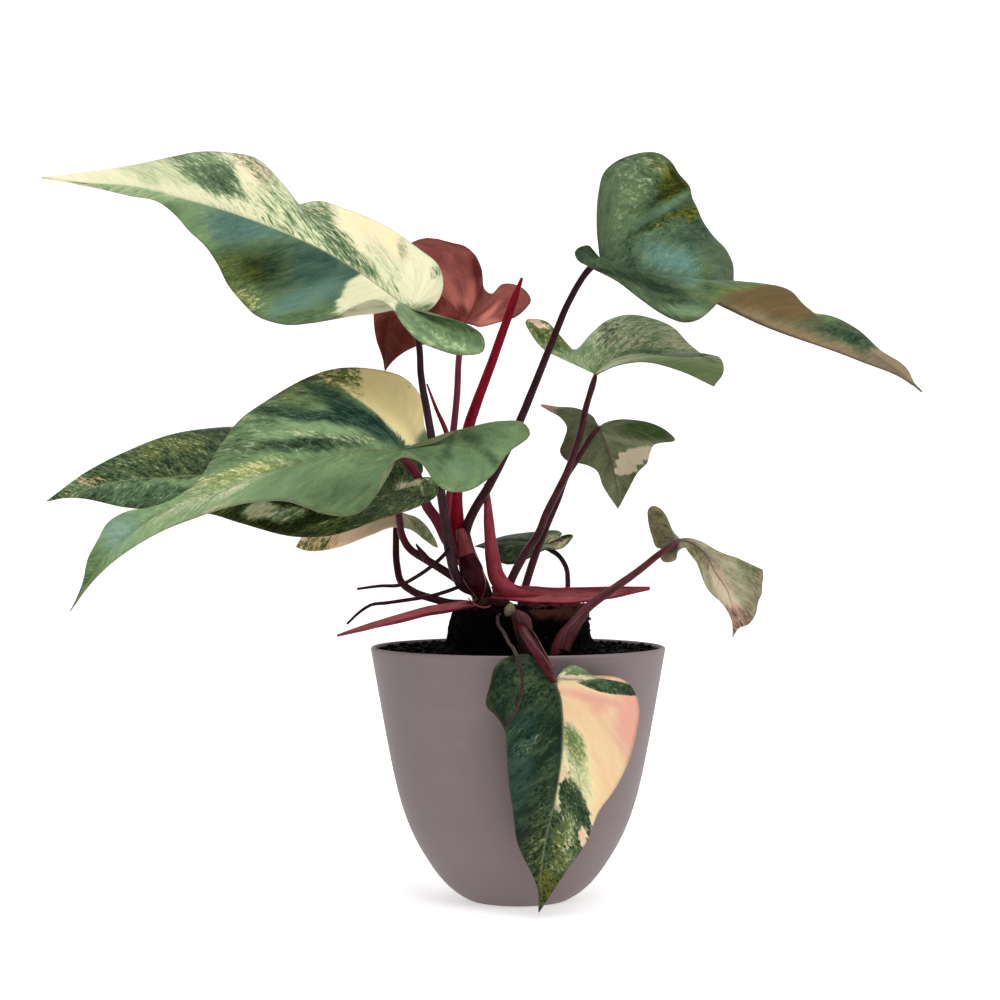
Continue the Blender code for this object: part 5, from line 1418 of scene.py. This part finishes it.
def make_stage(looks):
    """A pale floor that sweeps up behind the plant, soft lights, and the camera where the eye is."""
    form = bmesh.new()
    verts = [form.verts.new((-looks.floor_width / 2, back, up)) for back, up in BACKDROP_LINE]
    edges = [form.edges.new(pair) for pair in zip(verts, verts[1:])]
    grown = [part for part in bmesh.ops.extrude_edge_only(form, edges=edges)["geom"]
             if isinstance(part, bmesh.types.BMVert)]
    bmesh.ops.translate(form, verts=grown, vec=(looks.floor_width, 0, 0))
    bmesh.ops.recalc_face_normals(form, faces=form.faces)
    paper = bpy.data.materials.new("Backdrop paper")
    paper.use_nodes = True
    mottle = band(noise(add_node("TexCoord", {}, "Object", paper.node_tree), 3.0), 0.3, 0.7)
    tint = mixed(mottle, [*looks.backdrop, 1], [c * BACKDROP_MOTTLE for c in looks.backdrop] + [1])
    for label, value in (("Base Color", tint), ("Roughness", 0.9), ("Specular IOR Level", 0.1),
                         ("Emission Color", tint), ("Emission Strength", looks.glow)):
        feed(paper.node_tree.nodes["Principled BSDF"].inputs[label], value)
    floor = add_object("floor", smooth_mesh("floor", form, [paper]))
    round_off = floor.modifiers.new("Sweep", "SUBSURF")
    round_off.levels = 3
    round_off.render_levels = 3

    scene = bpy.context.scene
    scene.world = scene.world or bpy.data.worlds.new("World")
    scene.world.use_nodes = True
    background = scene.world.node_tree.nodes["Background"]
    background.inputs["Color"].default_value = SURROUND_COLOUR
    background.inputs["Strength"].default_value = looks.surround
    for name, place, size in LAMPS:
        lamp = bpy.data.lights.new(name, "AREA")
        lamp.shape = "DISK"
        lamp.size = size
        lamp.energy = getattr(looks, name + "_power")
        add_object(name, lamp, place, (Vector(LAMPS_AIM) - Vector(place)).to_track_quat("-Z", "Y").to_euler())

    camera = bpy.data.cameras.new("view")
    camera.sensor_width = SENSOR_WIDTH
    camera.lens = VIEW_FOCAL / VIEW_SIZE * SENSOR_WIDTH
    scene.camera = add_object("view", camera, (EYE_RIGHT, -EYE_DISTANCE, EYE_HEIGHT), (math.pi / 2, 0, 0))
    scene.view_settings.view_transform = "Standard"


# Add-on

def colour_choice(name, description, seen_colour):
    return FloatVectorProperty(name=name, description=description, subtype="COLOR", size=3, min=0, max=1,
                               default=linear(seen_colour)[:3])


def length_choice(name, description, default):
    return FloatProperty(name=name, description=description, default=default, unit="LENGTH")


def amount_choice(name, description, default, **limits):
    return FloatProperty(name=name, description=description, default=default, min=0, **limits)


def count_choice(name, description, default, **limits):
    return IntProperty(name=name, description=description, default=default, **limits)


class LeafLooks(bpy.types.PropertyGroup):
    """Sizes and colours of the blades."""

    thickness: length_choice("Thickness", "Thickness of a blade", 0.0005)
    quilt_height: length_choice("Quilting", "Rise of the blade between its side veins", 0.00013)
    wave_height: length_choice("Waves", "Height of the slow waves across a blade", 0.0006)
    groove_depth: length_choice("Midrib groove", "Depth of the channel over the midrib", 0.00045)
    deep_green: colour_choice("Deep green", "Darkest green of the blades", (28, 47, 31))
    pale_green: colour_choice("Pale green", "Palest green of the blades", (136, 165, 115))
    olive: colour_choice("Olive", "Warm green of the blades", (40, 46, 6))
    cream: colour_choice("Cream", "Cream of the variegation", (232, 228, 190))
    pink: colour_choice("Pink", "Pink of the variegation", (240, 176, 156))


class StalkLooks(bpy.types.PropertyGroup):
    """Shape of the stalks, and thickness of the bracts."""

    groove: amount_choice("Groove", "Depth of a stalk's channel, as a share of its radius", 0.16, max=0.5,
                           subtype="FACTOR")
    sides: count_choice("Sides", "Faces round a stalk", 20, min=8, max=48)
    bract_thickness: length_choice("Bract thickness", "Thickness of a bract", 0.0008)
    wrap_thickness: length_choice("Sheath thickness", "Thickness of a short sheath", 0.0005)


class PotLooks(bpy.types.PropertyGroup):
    """Colour and fineness of the pot."""

    colour: colour_choice("Colour", "Main colour of the plastic", (124, 110, 110))
    dust: colour_choice("Dust", "Colour of the paler mottle", (134, 121, 119))
    steps: count_choice("Steps", "Steps round the pot", 192, min=48, max=384)


class SoilLooks(bpy.types.PropertyGroup):
    """Colour, fineness and loose crumbs of the potting mix."""

    # The mix's near-black colour is its own dark colour with painted shade inside the pot
    colour: colour_choice("Colour", "Darkest colour of the mix", (5, 3, 3))
    steps: count_choice("Steps", "Steps round the bed", 240, min=48, max=480)
    shake: length_choice("Lumps", "Unevenness of the root ball's side", 0.0008)
    crumb_count: count_choice("Crumbs", "Loose crumbs on the bed", 700, min=0, max=3000)
    crumbs_on_mound: amount_choice("Crumbs on root ball", "Share of crumbs kept on the root ball", 0.25, max=1,
                                   subtype="FACTOR")
    seed: count_choice("Seed", "Arrangement of the crumbs", 11, min=0)


class StageLooks(bpy.types.PropertyGroup):
    """Backdrop and lights."""

    floor_width: length_choice("Floor width", "Width of the backdrop", 9.0)
    backdrop: colour_choice("Backdrop", "Colour of the floor and the wall behind", (246, 246, 246))
    glow: amount_choice("Backdrop glow", "Light that the backdrop gives off", 0.56)
    surround: amount_choice("Surround", "Strength of the even light all round", 0.29)
    key_power: amount_choice("Key light", "Power of the main soft light", 16.0)
    fill_power: amount_choice("Fill light", "Power of the light from the right", 6.5)
    top_power: amount_choice("Top light", "Power of the light from above", 15.0)


class PHILODENDRON_OT_groups(bpy.types.Operator):
    """Build the shader groups that the materials share"""

    bl_idname = "philodendron.groups"
    bl_label = "Shared patterns"

    def execute(self, context):
        for group in GROUPS:
            build_group(*group)
        return {"FINISHED"}


class PHILODENDRON_OT_stage(bpy.types.Operator):
    """Set up the floor, the lights and the camera"""

    bl_idname = "philodendron.stage"
    bl_label = "Stage"

    def execute(self, context):
        make_stage(context.scene.philodendron_stage)
        return {"FINISHED"}


class PHILODENDRON_OT_pot(bpy.types.Operator):
    """Make the pot"""

    bl_idname = "philodendron.pot"
    bl_label = "Pot"

    def execute(self, context):
        make_pot(context.scene.philodendron_pot)
        return {"FINISHED"}


class PHILODENDRON_OT_soil(bpy.types.Operator):
    """Make the potting mix, the root ball and the loose crumbs"""

    bl_idname = "philodendron.soil"
    bl_label = "Soil"

    def execute(self, context):
        make_soil(context.scene.philodendron_soil)
        return {"FINISHED"}


class PHILODENDRON_OT_leaves(bpy.types.Operator):
    """Make the variegated leaves and their midribs"""

    bl_idname = "philodendron.leaves"
    bl_label = "Leaves"

    def execute(self, context):
        looks = context.scene.philodendron_leaves
        top, under, rib = leaf_faces(looks)
        for name in LEAVES:
            if name != YOUNG_LEAF:
                make_leaf(name, looks, [top, under], rib)
        return {"FINISHED"}


class PHILODENDRON_OT_young_leaf(bpy.types.Operator):
    """Make the young red leaf behind the spears"""

    bl_idname = "philodendron.young_leaf"
    bl_label = "Young leaf"

    def execute(self, context):
        top, under, rib = young_leaf_faces()
        make_leaf(YOUNG_LEAF, context.scene.philodendron_leaves, [top, under], rib)
        return {"FINISHED"}


class PHILODENDRON_OT_stalks(bpy.types.Operator):
    """Make the leaf stalks"""

    bl_idname = "philodendron.stalks"
    bl_label = "Leaf stalks"

    def execute(self, context):
        looks = context.scene.philodendron_stalks
        make_stalks("petiole", looks.sides, looks.groove, bump=(0.35, 0.0004), specular=0.1)
        return {"FINISHED"}


class PHILODENDRON_OT_spears(bpy.types.Operator):
    """Make the two rolled young spears"""

    bl_idname = "philodendron.spears"
    bl_label = "Spears"

    def execute(self, context):
        make_stalks("spear", sides=24, groove=0.12, bump=(0.4, 0.0004), specular=0.06)
        return {"FINISHED"}


class PHILODENDRON_OT_bracts(bpy.types.Operator):
    """Make the three long open bracts"""

    bl_idname = "philodendron.bracts"
    bl_label = "Bracts"

    def execute(self, context):
        thickness = context.scene.philodendron_stalks.bract_thickness
        for name, bract in SHEATHS.items():
            faces = [stalk_material(name, dark, fresh, (0.4, 0.0004), 0.1, ending=side)
                     for dark, fresh, side in zip(bract["dark"], bract["fresh"], (" outside", " inside"))]
            make_bract(name + "_skin", bract, name, thickness, faces)
        return {"FINISHED"}


class PHILODENDRON_OT_wraps(bpy.types.Operator):
    """Make the short sheaths on the main stem and the stalks, with their pale rims"""

    bl_idname = "philodendron.wraps"
    bl_label = "Short sheaths"

    def execute(self, context):
        for name, wrap in WRAPS.items():
            make_wrap(name, wrap, context.scene.philodendron_stalks.wrap_thickness)
        return {"FINISHED"}


class PHILODENDRON_OT_buds(bpy.types.Operator):
    """Make the buds and scars at the foot of the main stem"""

    bl_idname = "philodendron.buds"
    bl_label = "Buds"

    def execute(self, context):
        for name, bud in BUDS.items():
            make_bud(name, bud)
        return {"FINISHED"}


class PHILODENDRON_OT_stem(bpy.types.Operator):
    """Make the main stem and the side shoot"""

    bl_idname = "philodendron.stem"
    bl_label = "Main stem"

    def execute(self, context):
        make_stalks(("main_stem", "side_shoot"), sides=32, groove=0.05, bump=(0.6, 0.0006), flecks=0.35)
        return {"FINISHED"}


class PHILODENDRON_OT_roots(bpy.types.Operator):
    """Make the three thin aerial roots"""

    bl_idname = "philodendron.roots"
    bl_label = "Roots"

    def execute(self, context):
        make_stalks("root", sides=14, groove=0.0, bump=(0.6, 0.0005), flecks=0.3)
        return {"FINISHED"}


OPERATORS = (PHILODENDRON_OT_groups, PHILODENDRON_OT_stage, PHILODENDRON_OT_pot, PHILODENDRON_OT_soil,
             PHILODENDRON_OT_leaves, PHILODENDRON_OT_young_leaf, PHILODENDRON_OT_stalks, PHILODENDRON_OT_spears,
             PHILODENDRON_OT_bracts, PHILODENDRON_OT_wraps, PHILODENDRON_OT_buds, PHILODENDRON_OT_stem,
             PHILODENDRON_OT_roots)
SETTINGS = (("philodendron_leaves", LeafLooks), ("philodendron_stalks", StalkLooks),
            ("philodendron_pot", PotLooks), ("philodendron_soil", SoilLooks), ("philodendron_stage", StageLooks))


class PHILODENDRON_PT_sidebar(bpy.types.Panel):
    """Lists the makers and their settings"""

    bl_label = "Philodendron"
    bl_idname = "PHILODENDRON_PT_sidebar"
    bl_space_type = "VIEW_3D"
    bl_region_type = "UI"
    bl_category = "Philodendron"

    def draw(self, context):
        for operator in OPERATORS:
            self.layout.operator(operator.bl_idname)
        for name, settings in SETTINGS:
            box = self.layout.box()
            for label in settings.__annotations__:
                box.prop(getattr(context.scene, name), label)


def register():
    for name, settings in SETTINGS:
        bpy.utils.register_class(settings)
        setattr(bpy.types.Scene, name, PointerProperty(type=settings))
    for operator in OPERATORS:
        bpy.utils.register_class(operator)
    bpy.utils.register_class(PHILODENDRON_PT_sidebar)


def unregister():
    bpy.utils.unregister_class(PHILODENDRON_PT_sidebar)
    for operator in reversed(OPERATORS):
        bpy.utils.unregister_class(operator)
    for name, settings in reversed(SETTINGS):
        delattr(bpy.types.Scene, name)
        bpy.utils.unregister_class(settings)


def main():
    register()
    bpy.ops.philodendron.groups()
    bpy.ops.philodendron.stage()
    bpy.ops.philodendron.pot()
    bpy.ops.philodendron.soil()
    bpy.ops.philodendron.leaves()
    bpy.ops.philodendron.young_leaf()
    bpy.ops.philodendron.stalks()
    bpy.ops.philodendron.spears()
    bpy.ops.philodendron.bracts()
    bpy.ops.philodendron.wraps()
    bpy.ops.philodendron.buds()
    bpy.ops.philodendron.stem()
    bpy.ops.philodendron.roots()


if __name__ == "__main__":
    main()
